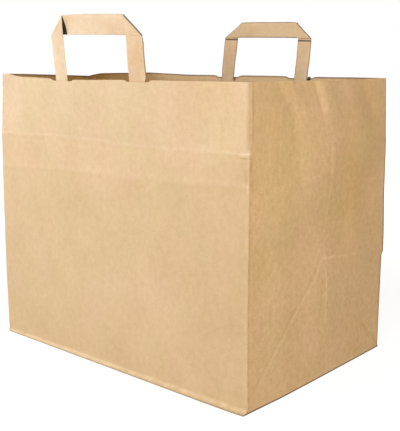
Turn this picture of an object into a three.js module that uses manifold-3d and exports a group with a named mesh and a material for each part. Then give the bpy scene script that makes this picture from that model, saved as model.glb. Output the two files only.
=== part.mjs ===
// Paper carrier bag: a block-bottom kraft bag with two flat paper handles glued inside its mouth.
// Millimetres, +Z up, the origin in the middle of the bottom. The front panel faces -Y.
import * as THREE from "three";
import { mergeVertices } from "three/addons/utils/BufferGeometryUtils.js";
import Module from "manifold-3d";

// The sheet and the room left between glued pieces
const PAPER = 0.15;
const CLEARANCE = 0.3;

// The bag's box, measured over its upright corners
const BAG_WIDTH = 320;
const BAG_DEPTH = 217;
const BAG_HEIGHT = 272;

// The walls: a slight swell between the bottom and the band, then a band under the mouth that leans out
const WALL_SWELL = 1.5;
const BAND_HEIGHT = 59;
const MOUTH_LEAN = 14;
const FLAT_PAST_PATCH_LEFT = 35;
const FLAT_PAST_PATCH_RIGHT = 3;

// The gussets: a ridge along the middle crease, pushed in at the mouth, over the 45 degree bottom creases
const GUSSET_RIDGE = 6;
const RIGHT_DENT = 7;
const LEFT_DENT = 14;

// The bottom: the foot of each wide panel flares into a lip that grows from its left end to its right end
const FOOT_RISE = 4.5;
const LIP_LEFT = 1.2;
const LIP_RIGHT = 6;
const FLAP_OVERLAP = 28;
const FLAP_FOLD = 0.3;

// The glued seam that closes the tube, on the rear panel, measured from that panel's right corner
const SEAM_FROM_CORNER = 50;
const SEAM_OVERLAP = 22;
const SEAM_EDGE = 0.5;

// The handles: straps of three plies, each folded at 45 degrees at both shoulders
const STRAP_WIDTH = 17;
const STRAP_PLIES = 3;
const HANDLE_SPAN = 116.4;
const HANDLE_RISE = 59.5;
const HANDLE_LEAN = 8;
const FOLD_GAP = 0.2;
const FOLD_INSET = 0.01;
const FOLD_SIDES = 12;

// The shallow cut-outs of the rim at the straps
const NOTCH_MARGIN = 9;
const NOTCH_DEPTH = 2;

// The patches that hold the straps to the inside of the band
const PATCH_MARGIN = 15;
const PATCH_BELOW_RIM = 6;
const PATCH_ABOVE_CREASE = 7;
const PATCH_STEP = 2;
const LEG_ABOVE_PATCH_FOOT = 6;

// Mesh steps along the sheet
const CURL_STEPS = 6;
const FLAT_STEPS = 4;
const GUSSET_STEPS = 6;
const WALL_STEPS = 4;
const BAND_STEPS = 2;
const WELD_DISTANCE = 1e-5;

// The colours of the papers
const BAG_COLOR = 0xdcbd8f;
const STRAP_COLOR = 0xe0c398;
const PATCH_COLOR = 0xd2b183;
const PAPER_ROUGHNESS = 0.9;

// Sizes that follow from the ones above
const BAND_FOOT = BAG_HEIGHT - BAND_HEIGHT;
const FLOOR_UNDERSIDE = 2 * PAPER;
const FLOOR_TOP = 3 * PAPER;
const JUNCTION_HEIGHT = FOOT_RISE + BAG_DEPTH / 2;
const STRAP_THICKNESS = STRAP_PLIES * PAPER;
const STRAP_DEPTH = PAPER + CLEARANCE;
const PATCH_WIDTH = HANDLE_SPAN + 2 * PATCH_MARGIN;
const PATCH_FOOT = PATCH_ABOVE_CREASE;
const PATCH_HEAD = BAND_HEIGHT - PATCH_BELOW_RIM;
const LEG_FOOT = PATCH_FOOT + LEG_ABOVE_PATCH_FOOT;
const FLAT_LEFT = PATCH_WIDTH / 2 + FLAT_PAST_PATCH_LEFT;
const FLAT_RIGHT = PATCH_WIDTH / 2 + FLAT_PAST_PATCH_RIGHT;
const HALF_TURN = new THREE.Matrix4().makeRotationZ(Math.PI);

const wasm = await Module();
wasm.setup();

// A closed geometry as a solid that can be joined and cut
function toSolid(geometry) {
  const bare = geometry.clone();
  bare.deleteAttribute("normal");
  bare.deleteAttribute("uv");
  const merged = mergeVertices(bare, WELD_DISTANCE);
  const mesh = new wasm.Mesh({
    numProp: 3,
    vertProperties: new Float32Array(merged.attributes.position.array),
    triVerts: new Uint32Array(merged.index.array),
  });
  return new wasm.Manifold(mesh);
}

// A solid as a geometry again
function toGeometry(solid) {
  const { vertProperties, triVerts } = solid.getMesh();
  const geometry = new THREE.BufferGeometry();
  geometry.setAttribute("position", new THREE.BufferAttribute(vertProperties, 3));
  geometry.setIndex(new THREE.BufferAttribute(triVerts, 1));
  geometry.computeVertexNormals();
  return geometry;
}

// Even steps from one value to another, the last one left out
function stepsBetween(from, to, count) {
  return Array.from({ length: count }, (_, i) => THREE.MathUtils.lerp(from, to, i / count));
}

// An outline through points, extruded upwards
function plate(points, depth) {
  const outline = new THREE.Shape(points.map(([x, y]) => new THREE.Vector2(x, y)));
  return new THREE.ExtrudeGeometry(outline, { depth, bevelEnabled: false });
}

// How far the walls stand out at a height on the sheet
function swellAt(height) {
  const share = Math.min(height, BAND_FOOT) / BAND_FOOT;
  return WALL_SWELL * Math.sin(Math.PI * share);
}

// How much of the lip shows at a height on the sheet
function lipShare(height) {
  return Math.max(0, FOOT_RISE - height) / (FOOT_RISE - FLOOR_UNDERSIDE);
}

// The share of the mouth's lean at a place across a wide panel: all of it on the flat, none at the corners
function leanShare(x) {
  const curlLeft = THREE.MathUtils.smoothstep(x, -BAG_WIDTH / 2, -FLAT_LEFT);
  const curlRight = THREE.MathUtils.smoothstep(-x, -BAG_WIDTH / 2, -FLAT_RIGHT);
  return Math.min(curlLeft, curlRight);
}

// A point of the front panel, from its place across the panel and its height on the sheet
function panelPoint(x, height) {
  const swell = swellAt(height);
  const across = x / (BAG_WIDTH / 2);
  const lip = THREE.MathUtils.lerp(LIP_LEFT, LIP_RIGHT, (across + 1) / 2) * lipShare(height);
  const lean = THREE.MathUtils.degToRad(MOUTH_LEAN * leanShare(x));
  const up = Math.max(0, height - BAND_FOOT);
  return new THREE.Vector3(
    x + across * swell,
    -BAG_DEPTH / 2 - swell - lip - up * Math.sin(lean),
    height - up * (1 - Math.cos(lean)),
  );
}

// A point of the right gusset: across runs from -1 at the front corner to 1 at the rear corner
function gussetPoint(across, height, dent) {
  const swell = swellAt(height);
  const middle = 1 - Math.abs(across);
  const overDiagonal = Math.max(0, height - FOOT_RISE) / (JUNCTION_HEIGHT - FOOT_RISE);
  const ridge = GUSSET_RIDGE * Math.min(middle, overDiagonal);
  const lean = Math.asin(((GUSSET_RIDGE + dent) * middle) / BAND_HEIGHT);
  const up = Math.max(0, height - BAND_FOOT);
  const lip = lipShare(height) * (across < 0 ? LIP_RIGHT : LIP_LEFT);
  return new THREE.Vector3(
    BAG_WIDTH / 2 + swell + ridge - up * Math.sin(lean),
    across * (BAG_DEPTH / 2 + swell + lip),
    height - up * (1 - Math.cos(lean)),
  );
}

// The heights of the sheet's mesh rows, with one on each crease and on each step of the diagonals
function sheetHeights() {
  return [
    FLOOR_UNDERSIDE,
    ...stepsBetween(FOOT_RISE, JUNCTION_HEIGHT, GUSSET_STEPS),
    ...stepsBetween(JUNCTION_HEIGHT, BAND_FOOT, WALL_STEPS),
    ...stepsBetween(BAND_FOOT, BAG_HEIGHT, BAND_STEPS),
    BAG_HEIGHT,
  ];
}

// The places of the columns across a wide panel, with the seam's edges on the rear one
function panelColumns(hasSeam) {
  const seamEnd = BAG_WIDTH / 2 - SEAM_FROM_CORNER;
  const seamStart = seamEnd - SEAM_OVERLAP;
  const seam = [seamStart - SEAM_EDGE, seamStart, seamEnd, seamEnd + SEAM_EDGE];
  const even = [
    ...stepsBetween(-BAG_WIDTH / 2, -FLAT_LEFT, CURL_STEPS),
    ...stepsBetween(-FLAT_LEFT, FLAT_RIGHT, FLAT_STEPS),
    ...stepsBetween(FLAT_RIGHT, BAG_WIDTH / 2, CURL_STEPS),
  ];
  return hasSeam ? [...even, ...seam].sort((a, b) => a - b) : even;
}

// The plies of the rear panel at a place across it
function seamPlies(x) {
  const end = BAG_WIDTH / 2 - SEAM_FROM_CORNER;
  return x >= end - SEAM_OVERLAP && x <= end ? 2 : 1;
}

// One wide panel and the gusset at its right, as columns of outer points and the way inwards
function halfOfSheet(dent, hasSeam) {
  const corner = new THREE.Vector3(1, 1, 0);
  const panel = panelColumns(hasSeam).map((x, i) => ({
    point: (height) => panelPoint(x, height),
    inward: i ? new THREE.Vector3(0, hasSeam ? seamPlies(x) : 1, 0) : corner,
    split: 1,
  }));
  const gusset = stepsBetween(-1, 1, 2 * GUSSET_STEPS).map((across, i) => ({
    point: (height) => gussetPoint(across, height, dent),
    inward: i ? new THREE.Vector3(-1, 0, 0) : new THREE.Vector3(-1, 1, 0),
    split: across < 0 ? 1 : -1,
  }));
  return [...panel, ...gusset];
}

// The sheet's columns all the way round: the front half, then the rear half turned round
function sheetColumns() {
  const front = halfOfSheet(RIGHT_DENT, false);
  const rear = halfOfSheet(LEFT_DENT, true).map((column) => ({
    point: (height) => column.point(height).applyMatrix4(HALF_TURN),
    inward: column.inward.clone().applyMatrix4(HALF_TURN),
    split: column.split,
  }));
  return [...front, ...rear];
}

// The walls and the floor ply as one closed sheet
function sheetGeometry() {
  const columns = sheetColumns();
  const heights = sheetHeights();
  const count = columns.length;
  const rows = heights.length;
  const outer = heights.map((height) => columns.map((column) => column.point(height)));
  const inner = heights.map((height, row) =>
    columns.map((column) => {
      const point = column.point(row ? height : FLOOR_TOP);
      return point.addScaledVector(column.inward, PAPER);
    }),
  );
  const points = [...outer.flat(), ...inner.flat()];
  const floor = points.push(new THREE.Vector3(0, 0, FLOOR_UNDERSIDE)) - 1;
  const inside = points.push(new THREE.Vector3(0, 0, FLOOR_TOP)) - 1;
  const triangles = [];
  const addQuad = (a, b, c, d, split) => {
    const pair = split > 0 ? [a, b, c, a, c, d] : [a, b, d, b, c, d];
    triangles.push(...pair);
  };
  for (let i = 0; i < count; i += 1) {
    const next = (i + 1) % count;
    const { split } = columns[i];
    for (let row = 0; row + 1 < rows; row += 1) {
      const low = row * count;
      const high = low + count;
      const back = rows * count;
      addQuad(low + i, low + next, high + next, high + i, split);
      addQuad(back + low + next, back + low + i, back + high + i, back + high + next, -split);
    }
    const rim = (rows - 1) * count;
    const innerRim = rim + rows * count;
    addQuad(rim + i, rim + next, innerRim + next, innerRim + i, 1);
    triangles.push(floor, next, i);
    triangles.push(inside, rows * count + i, rows * count + next);
  }
  const geometry = new THREE.BufferGeometry();
  geometry.setFromPoints(points);
  geometry.setIndex(triangles);
  return geometry;
}

// The left and right ends of the front panel's foot
function footCorners() {
  const left = [-BAG_WIDTH / 2, -BAG_DEPTH / 2 - LIP_LEFT];
  const right = [BAG_WIDTH / 2, -BAG_DEPTH / 2 - LIP_RIGHT];
  return [left, right];
}

// The front bottom flap: it runs in from the corners at 45 degrees and laps past the middle
function flapGeometry(underside) {
  const [left, right] = footCorners();
  const tipLeft = left[0] - left[1];
  const tipRight = right[0] + right[1];
  const end = FLAP_OVERLAP / 2;
  const outline = [left, right, [tipRight, 0], [tipRight, end], [tipLeft, end], [tipLeft, 0]];
  const glued = PAPER / 2;
  return plate(outline, PAPER + glued).translate(0, 0, underside);
}

// The fold along the panel's foot that carries the front bottom flap
function flapFoldGeometry(underside) {
  const [left, right] = footCorners();
  const inLeft = [left[0] + FLAP_FOLD, left[1] + FLAP_FOLD];
  const inRight = [right[0] - FLAP_FOLD, right[1] + FLAP_FOLD];
  return plate([left, right, inRight, inLeft], FLOOR_TOP - underside).translate(0, 0, underside);
}

// From the band's own frame to the bag: X along the panel, Y inwards, Z up the band from its crease
function bandMatrix() {
  const lean = new THREE.Matrix4().makeRotationX(THREE.MathUtils.degToRad(MOUTH_LEAN));
  return lean.setPosition(0, -BAG_DEPTH / 2, BAND_FOOT);
}

// The cut-outs of the front rim, one round each strap
function notchGeometries() {
  const width = STRAP_WIDTH + 2 * NOTCH_MARGIN;
  const reach = 2 * NOTCH_DEPTH;
  return [-1, 1].map((side) => {
    const box = new THREE.BoxGeometry(width, reach, reach);
    box.translate((side * (HANDLE_SPAN - STRAP_WIDTH)) / 2, 0, BAND_HEIGHT);
    return box.applyMatrix4(bandMatrix());
  });
}

// The folded and glued sheet: walls, floor and flaps, with the rim cut out at the straps
function bagBody() {
  const flaps = [
    flapGeometry(PAPER),
    flapFoldGeometry(PAPER),
    flapGeometry(0).applyMatrix4(HALF_TURN),
    flapFoldGeometry(0).applyMatrix4(HALF_TURN),
  ];
  const front = notchGeometries();
  const rear = notchGeometries().map((notch) => notch.applyMatrix4(HALF_TURN));
  let body = toSolid(sheetGeometry());
  for (const flap of flaps) body = body.add(toSolid(flap));
  for (const notch of [...front, ...rear]) body = body.subtract(toSolid(notch));
  return toGeometry(body);
}

// From the handle's own frame to the band: the strap bends at the rim and stands more upright than the band
function handleMatrix() {
  const bend = THREE.MathUtils.degToRad(HANDLE_LEAN - MOUTH_LEAN);
  return new THREE.Matrix4().makeRotationX(bend).setPosition(0, STRAP_DEPTH, BAND_HEIGHT);
}

// One leg as a bent strip: glued to the band below the rim, free above it, cut at 45 degrees for its fold
function legGeometry(side) {
  const bend = THREE.MathUtils.degToRad(MOUTH_LEAN - HANDLE_LEAN);
  const mitre = STRAP_THICKNESS * Math.tan(bend / 2);
  const top = new THREE.Vector2(0, HANDLE_RISE).rotateAround(new THREE.Vector2(), -bend);
  const across = new THREE.Vector2(STRAP_THICKNESS, 0).rotateAround(new THREE.Vector2(), -bend);
  const profile = [
    [0, LEG_FOOT - BAND_HEIGHT],
    [STRAP_THICKNESS, LEG_FOOT - BAND_HEIGHT],
    [STRAP_THICKNESS, -mitre],
    [top.x + across.x, top.y + across.y],
    [top.x, top.y],
    [0, 0],
  ];
  const upright = new THREE.Matrix4().makeBasis(
    new THREE.Vector3(0, 1, 0),
    new THREE.Vector3(0, 0, 1),
    new THREE.Vector3(1, 0, 0),
  );
  const start = side < 0 ? -HANDLE_SPAN / 2 : HANDLE_SPAN / 2 - STRAP_WIDTH;
  const strip = plate(profile, STRAP_WIDTH).applyMatrix4(upright);
  return strip.translate(start, STRAP_DEPTH, BAND_HEIGHT);
}

// The waste above a shoulder's fold, in the handle's frame
function shoulderWaste(side) {
  const outer = (side * HANDLE_SPAN) / 2;
  const inner = outer - side * STRAP_WIDTH;
  const shoulder = HANDLE_RISE - STRAP_WIDTH;
  const reach = STRAP_WIDTH;
  const points = [
    [outer + side * reach, shoulder - reach],
    [outer + side * reach, HANDLE_RISE + reach],
    [inner - side * reach, HANDLE_RISE + reach],
  ];
  const halfDepth = STRAP_THICKNESS + FOLD_GAP;
  const block = plate(side > 0 ? points : points.reverse(), 2 * halfDepth).rotateX(Math.PI / 2);
  return block.translate(0, halfDepth, 0);
}

// The bar between the folds, behind the legs, in the handle's frame
function barGeometry() {
  const half = HANDLE_SPAN / 2;
  const foot = HANDLE_RISE - STRAP_WIDTH;
  const outline = [
    [-half, foot],
    [half, foot],
    [half - STRAP_WIDTH, HANDLE_RISE],
    [-half + STRAP_WIDTH, HANDLE_RISE],
  ];
  const bar = plate(outline, STRAP_THICKNESS).rotateX(Math.PI / 2);
  return bar.translate(0, 2 * STRAP_THICKNESS + FOLD_GAP, 0);
}

// The rolled edge of a shoulder's fold, in the handle's frame
function foldGeometry(side) {
  const radius = STRAP_THICKNESS + FOLD_GAP / 2;
  const length = STRAP_WIDTH * Math.SQRT2 - 2 * radius;
  const inside = radius - FOLD_INSET;
  const roll = new THREE.CylinderGeometry(inside, inside, length, FOLD_SIDES);
  roll.rotateX(Math.PI / 2).rotateY((-side * Math.PI) / 4);
  return roll.translate(
    (side * (HANDLE_SPAN - STRAP_WIDTH)) / 2,
    radius,
    HANDLE_RISE - STRAP_WIDTH / 2,
  );
}

// The front strap: two legs, the bar and the folds between them
function handle() {
  const stand = handleMatrix();
  let strap = toSolid(barGeometry().applyMatrix4(stand));
  for (const side of [-1, 1]) {
    const waste = toSolid(shoulderWaste(side).applyMatrix4(stand));
    const leg = toSolid(legGeometry(side)).subtract(waste);
    strap = strap.add(leg).add(toSolid(foldGeometry(side).applyMatrix4(stand)));
  }
  return toGeometry(strap).applyMatrix4(bandMatrix());
}

// The front patch: one sheet that lies on the band and steps over both legs
function patch() {
  const low = PAPER + CLEARANCE;
  const high = STRAP_DEPTH + STRAP_THICKNESS + CLEARANCE;
  const outerEdge = HANDLE_SPAN / 2 + CLEARANCE;
  const innerEdge = HANDLE_SPAN / 2 - STRAP_WIDTH - CLEARANCE;
  const rightHalf = [
    [innerEdge - PATCH_STEP, low],
    [innerEdge, high],
    [outerEdge, high],
    [outerEdge + PATCH_STEP, low],
    [PATCH_WIDTH / 2, low],
  ];
  const leftHalf = rightHalf.map(([x, depth]) => [-x, depth]).reverse();
  const against = [...leftHalf, ...rightHalf];
  const inside = against.map(([x, depth]) => [x, depth + PAPER]).reverse();
  const sheet = plate([...against, ...inside], PATCH_HEAD - PATCH_FOOT);
  return sheet.translate(0, 0, PATCH_FOOT).applyMatrix4(bandMatrix());
}

// A paper piece with its own colour
function paperPiece(name, geometry, color) {
  const material = new THREE.MeshStandardMaterial({ color, roughness: PAPER_ROUGHNESS, metalness: 0 });
  const mesh = new THREE.Mesh(geometry, material);
  mesh.name = name;
  return mesh;
}

const bag = new THREE.Group();
bag.add(paperPiece("bag_body", bagBody(), BAG_COLOR));
bag.add(paperPiece("front_handle", handle(), STRAP_COLOR));
bag.add(paperPiece("front_handle_patch", patch(), PATCH_COLOR));

const rear = new THREE.Group();
rear.rotation.z = Math.PI;
rear.add(paperPiece("rear_handle", handle(), STRAP_COLOR));
rear.add(paperPiece("rear_handle_patch", patch(), PATCH_COLOR));
bag.add(rear);

export default bag;
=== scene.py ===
"""Looks of a plain kraft paper carrier bag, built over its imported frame.

The bag is one folded and glued sheet with a block bottom, two flat strap handles and the two glued
patches that hold them. Every size below is in millimetres, in the frame's own axes: +Z up, the
front panel towards -Y, the origin in the middle of the bottom. Meshes are made in metres.
"""

from __future__ import annotations

import logging
import math
from dataclasses import dataclass, field
from enum import Enum
from typing import Any, Sequence, Union

import bpy
import numpy as np
from mathutils import Matrix, Vector


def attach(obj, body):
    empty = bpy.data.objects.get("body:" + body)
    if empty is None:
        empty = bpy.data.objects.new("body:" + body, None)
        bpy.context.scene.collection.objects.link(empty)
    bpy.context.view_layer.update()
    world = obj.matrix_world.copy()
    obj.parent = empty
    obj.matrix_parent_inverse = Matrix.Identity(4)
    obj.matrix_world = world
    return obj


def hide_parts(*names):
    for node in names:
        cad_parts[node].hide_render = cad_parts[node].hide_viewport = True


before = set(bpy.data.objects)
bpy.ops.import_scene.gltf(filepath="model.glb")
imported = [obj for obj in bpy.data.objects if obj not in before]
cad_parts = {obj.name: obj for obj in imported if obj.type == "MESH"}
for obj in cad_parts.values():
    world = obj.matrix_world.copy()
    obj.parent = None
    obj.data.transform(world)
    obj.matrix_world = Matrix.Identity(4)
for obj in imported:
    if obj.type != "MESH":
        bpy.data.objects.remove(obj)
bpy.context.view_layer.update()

log = logging.getLogger("carrier_bag")

Array = np.ndarray
Pair = tuple[float, float]
Triple = tuple[float, float, float]
Colour = tuple[float, float, float, float]
Value = Union["Signal", float, Sequence[float]]

MM = 0.001

# Every face corner keeps its place on the flat sheet: across, up, and one more distance or none.
SHEET_PLACE = "sheet_place"
NO_DISTANCE = -100.0

# Where the places of the small pieces start, so that no two pieces have the same grain.
STRAP_START = 2000.0
PATCH_START = 2500.0
FLAP_START = 3000.0
CORNER_START = 4000.0

# The places of the body's inside start this many half rounds on, and its colour starts between these.
INSIDE_TURNS = 4
INSIDE_FROM = (3.2, 3.3)

# The third distance on a strap's face, between its face and its back, and on its back far from a gap.
STRAP_FACE = 50.0
STRAP_BACK = (35.0, 30.0)
NO_GAP = 20.0

HALF_TURN = np.array([-1.0, -1.0, 1.0])


class Slot(Enum):
    """The record's material slots."""

    BAG = "bag_paper"
    STRAP = "strap_paper"
    PATCH = "patch_paper"


class Side(Enum):
    """The two halves of the bag: the rear half is the front half turned half a turn."""

    FRONT = 1
    REAR = -1


# Numbers along the sheet


def smoothstep(value: Array | float, low: float, high: float) -> Array:
    """Ease from 0 at low to 1 at high."""
    share = np.clip((np.asarray(value, float) - low) / (high - low), 0, 1)
    return share * share * (3 - 2 * share)


def graded(
    start: float, end: float, count: int, fine_start: float = 0.0, fine_end: float = 0.0
) -> Array:
    """Steps from start to end that are finer towards the ends that lie on a crease.

    Args:
        start: First value.
        end: Last value.
        count: How many steps there are.
        fine_start: How much finer the first steps are, from 0 to 1.
        fine_end: How much finer the last steps are, from 0 to 1.

    Returns:
        The count + 1 values, both ends included.
    """
    middle = (np.arange(count) + 0.5) / count
    width = 1 - fine_start * (1 - middle) ** 4 - fine_end * middle**4
    share = np.concatenate([[0], np.cumsum(width)]) / width.sum()
    return start + (end - start) * share


@dataclass(frozen=True)
class Ripple:
    """Slow unevenness of paper that has been folded flat and opened again."""

    seed: int
    height: float = 0.45
    shortest: float = 45.0
    longest: float = 150.0
    count: int = 18

    def at(self, across: Array, up: Array) -> Array:
        """Height of the ripple.

        Args:
            across: Places across the sheet.
            up: Places up the sheet.

        Returns:
            The ripple's height at each place.
        """
        dice = np.random.default_rng(self.seed)
        total = np.zeros(np.broadcast(across, up).shape)
        for _ in range(self.count):
            length = dice.uniform(self.shortest, self.longest)
            turn = dice.uniform(0, math.pi)
            phase = dice.uniform(0, 2 * math.pi)
            way = across * math.cos(turn) + up * math.sin(turn)
            total += np.sin(2 * math.pi * way / length + phase)
        return total * self.height / math.sqrt(self.count / 2)


# Meshes


@dataclass
class PaperMesh:
    """Collects the points and triangles of one paper piece, with each corner's place on the sheet."""

    name: str
    points: list[Array] = field(default_factory=list)
    triangles: list[Array] = field(default_factory=list)
    places: list[Array] = field(default_factory=list)
    count: int = 0

    def add_points(self, points: Array) -> int:
        """Add points and give the index of the first one.

        Args:
            points: Points in millimetres, in any grid shape.

        Returns:
            The index of the first point.
        """
        first = self.count
        flat = points.reshape(-1, 3)
        self.points.append(flat)
        self.count += len(flat)
        return first

    def add_grid(self, points: Array) -> Array:
        """Add rows by columns of points and give the index of each."""
        rows, columns = points.shape[:2]
        return self.add_points(points) + np.arange(rows * columns).reshape(rows, columns)

    def add_triangles(self, corners: Array, places: Array) -> None:
        """Add triangles, three point indices to a row, with the place on the sheet of each corner."""
        self.triangles.append(corners.reshape(-1, 3))
        self.places.append(places.reshape(-1, places.shape[-1]))

    def add_cells(
        self, index: Array, place: Array, flip: bool = False, split: Array | None = None
    ) -> None:
        """Add the cells of a grid as pairs of triangles.

        Args:
            index: Point index of each grid place, rows by columns.
            place: Place on the sheet of each grid place, rows by columns by two or three.
            flip: Whether the faces look the other way.
            split: For each column of cells, 1 to cut them from low left to high right, or -1.
        """
        rows, columns = index.shape[0] - 1, index.shape[1] - 1
        corner = np.stack([index[:-1, :-1], index[:-1, 1:], index[1:, 1:], index[1:, :-1]], -1)
        spot = np.stack([place[:-1, :-1], place[:-1, 1:], place[1:, 1:], place[1:, :-1]], 2)
        rising = np.broadcast_to(np.ones(columns) if split is None else split, (rows, columns)) > 0
        for chosen, pair in ((rising, (0, 1, 2, 0, 2, 3)), (~rising, (0, 1, 3, 1, 2, 3))):
            order = [*reversed(pair)] if flip else [*pair]
            self.add_triangles(corner[chosen][:, order], spot[chosen][:, order])

    def add_sheet(
        self, face: Array, back: Array, place: Array, back_place: Array | None = None
    ) -> None:
        """Add an open sheet of paper with thickness: a face, its back and the four cut edges.

        Args:
            face: Grid of points of the face, rows by columns by three.
            back: Grid of points of the back.
            place: Place on the sheet of each grid place.
            back_place: Place of each grid place of the back, where it is not the same.
        """
        front, rear = self.add_grid(face), self.add_grid(back)
        self.add_cells(front, place)
        self.add_cells(rear, place if back_place is None else back_place, flip=True)
        first, last = ((np.s_[end, :], np.s_[:, end]) for end in (0, -1))
        for edge, flip in ((first[0], True), (last[0], False), (first[1], False), (last[1], True)):
            strip = np.stack([front[edge], rear[edge]])
            self.add_cells(strip, np.stack([place[edge], place[edge]]), flip=flip)

    def build(self, sharp_degrees: float = 50.0) -> bpy.types.Object:
        """Make the Blender object.

        Args:
            sharp_degrees: Edges that turn more than this are cut edges and hard folds.

        Returns:
            The new object, linked to the scene.
        """
        mesh = bpy.data.meshes.new(self.name)
        points = np.concatenate(self.points) * MM
        triangles = np.concatenate(self.triangles)
        mesh.from_pydata(points.tolist(), [], triangles.tolist())
        places = np.full((triangles.size, 3), NO_DISTANCE, np.float32)
        first = 0
        for part in self.places:
            places[first : first + len(part), : part.shape[1]] = part
            first += len(part)
        layer = mesh.attributes.new(SHEET_PLACE, "FLOAT_VECTOR", "CORNER")
        layer.data.foreach_set("vector", places.ravel())
        mesh.polygons.foreach_set("use_smooth", np.ones(len(triangles), bool))
        mesh.set_sharp_from_angle(angle=math.radians(sharp_degrees))
        mesh.validate()
        mesh.update()
        piece = bpy.data.objects.new(self.name, mesh)
        bpy.context.scene.collection.objects.link(piece)
        log.info("%s: %d triangles", self.name, len(triangles))
        return piece


def grid_normals(grid: Array, closed: bool = False) -> Array:
    """Unit normals of a grid of points.

    Args:
        grid: Points, rows by columns by three.
        closed: Whether the last column runs on into the first.

    Returns:
        Normals that look to the right of the way up the columns.
    """
    wide = np.concatenate([grid[:, -2:], grid, grid[:, :2]], 1) if closed else grid
    along = np.gradient(wide, axis=1)
    along = along[:, 2:-2] if closed else along
    normal = np.cross(along, np.gradient(grid, axis=0))
    return normal / np.linalg.norm(normal, axis=-1, keepdims=True)


# Shader graphs


class Signal:
    """One output of a shader graph, which can be used in arithmetic."""

    def __init__(self, graph: ShaderGraph, socket: bpy.types.NodeSocket) -> None:
        """Wrap a socket of a graph."""
        self.graph = graph
        self.socket = socket

    def _math(self, operation: str, first: Value, second: Value) -> Signal:
        """Add a Math node of two values."""
        return self.graph.node("ShaderNodeMath", {"operation": operation}, {0: first, 1: second})

    def __add__(self, other: Value) -> Signal:
        """Sum of two values."""
        return self._math("ADD", self, other)

    def __radd__(self, other: Value) -> Signal:
        """Sum of two values."""
        return self._math("ADD", other, self)

    def __sub__(self, other: Value) -> Signal:
        """Difference of two values."""
        return self._math("SUBTRACT", self, other)

    def __rsub__(self, other: Value) -> Signal:
        """Difference of two values."""
        return self._math("SUBTRACT", other, self)

    def __mul__(self, other: Value) -> Signal:
        """Product of two values."""
        return self._math("MULTIPLY", self, other)

    def __rmul__(self, other: Value) -> Signal:
        """Product of two values."""
        return self._math("MULTIPLY", other, self)

    def __mod__(self, other: Value) -> Signal:
        """Remainder that is never negative."""
        return self._math("FLOORED_MODULO", self, other)

    def __abs__(self) -> Signal:
        """Size of a value."""
        return self._math("ABSOLUTE", self, 0.0)

    def most(self, other: Value) -> Signal:
        """The larger of two values."""
        return self._math("MAXIMUM", self, other)

    def ease(self, low: float, high: float) -> Signal:
        """Ease from 0 at low to 1 at high; low may be the larger one.

        Args:
            low: Value that gives 0.
            high: Value that gives 1.

        Returns:
            The eased share.
        """
        if low > high:
            return 1.0 - self.ease(high, low)
        sockets = {"Value": self, "From Min": low, "From Max": high}
        return self.graph.node("ShaderNodeMapRange", {"interpolation_type": "SMOOTHSTEP"}, sockets)


@dataclass(frozen=True)
class Grain:
    """One layer of soft noise in the paper.

    The size is that of its flecks, across and up the sheet. The seed moves it, so that no two layers
    are the same. The detail is how many finer layers it has, and the roughness how strong they are.
    """

    size: Pair
    seed: float
    detail: float = 2.0
    roughness: float = 0.5


CLOUDS = Grain((34, 42), 1.3, 3.0, 0.6)
FLOCKS = Grain((5.2, 5.8), 4.1, 3.0, 0.6)
SPECKS = Grain((1.5, 1.6), 5.9, 2.0, 0.6)
STREAKS = Grain((1.9, 70), 2.9, 3.0, 0.6)
TOOTH = Grain((0.7, 1.1), 6.2, 4.0, 0.65)
WIDE_HUE = Grain((48, 56), 7.7)
FINE_HUE = Grain((12, 13), 2.3, 1.0)
BAND_EDGE = Grain((22, 9), 5.2, 3.0)
SHAKE = Grain((14, 14), 8.8, 3.0, 0.6)
WORN_PATCHES = Grain((9, 9), 3.9)


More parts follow.
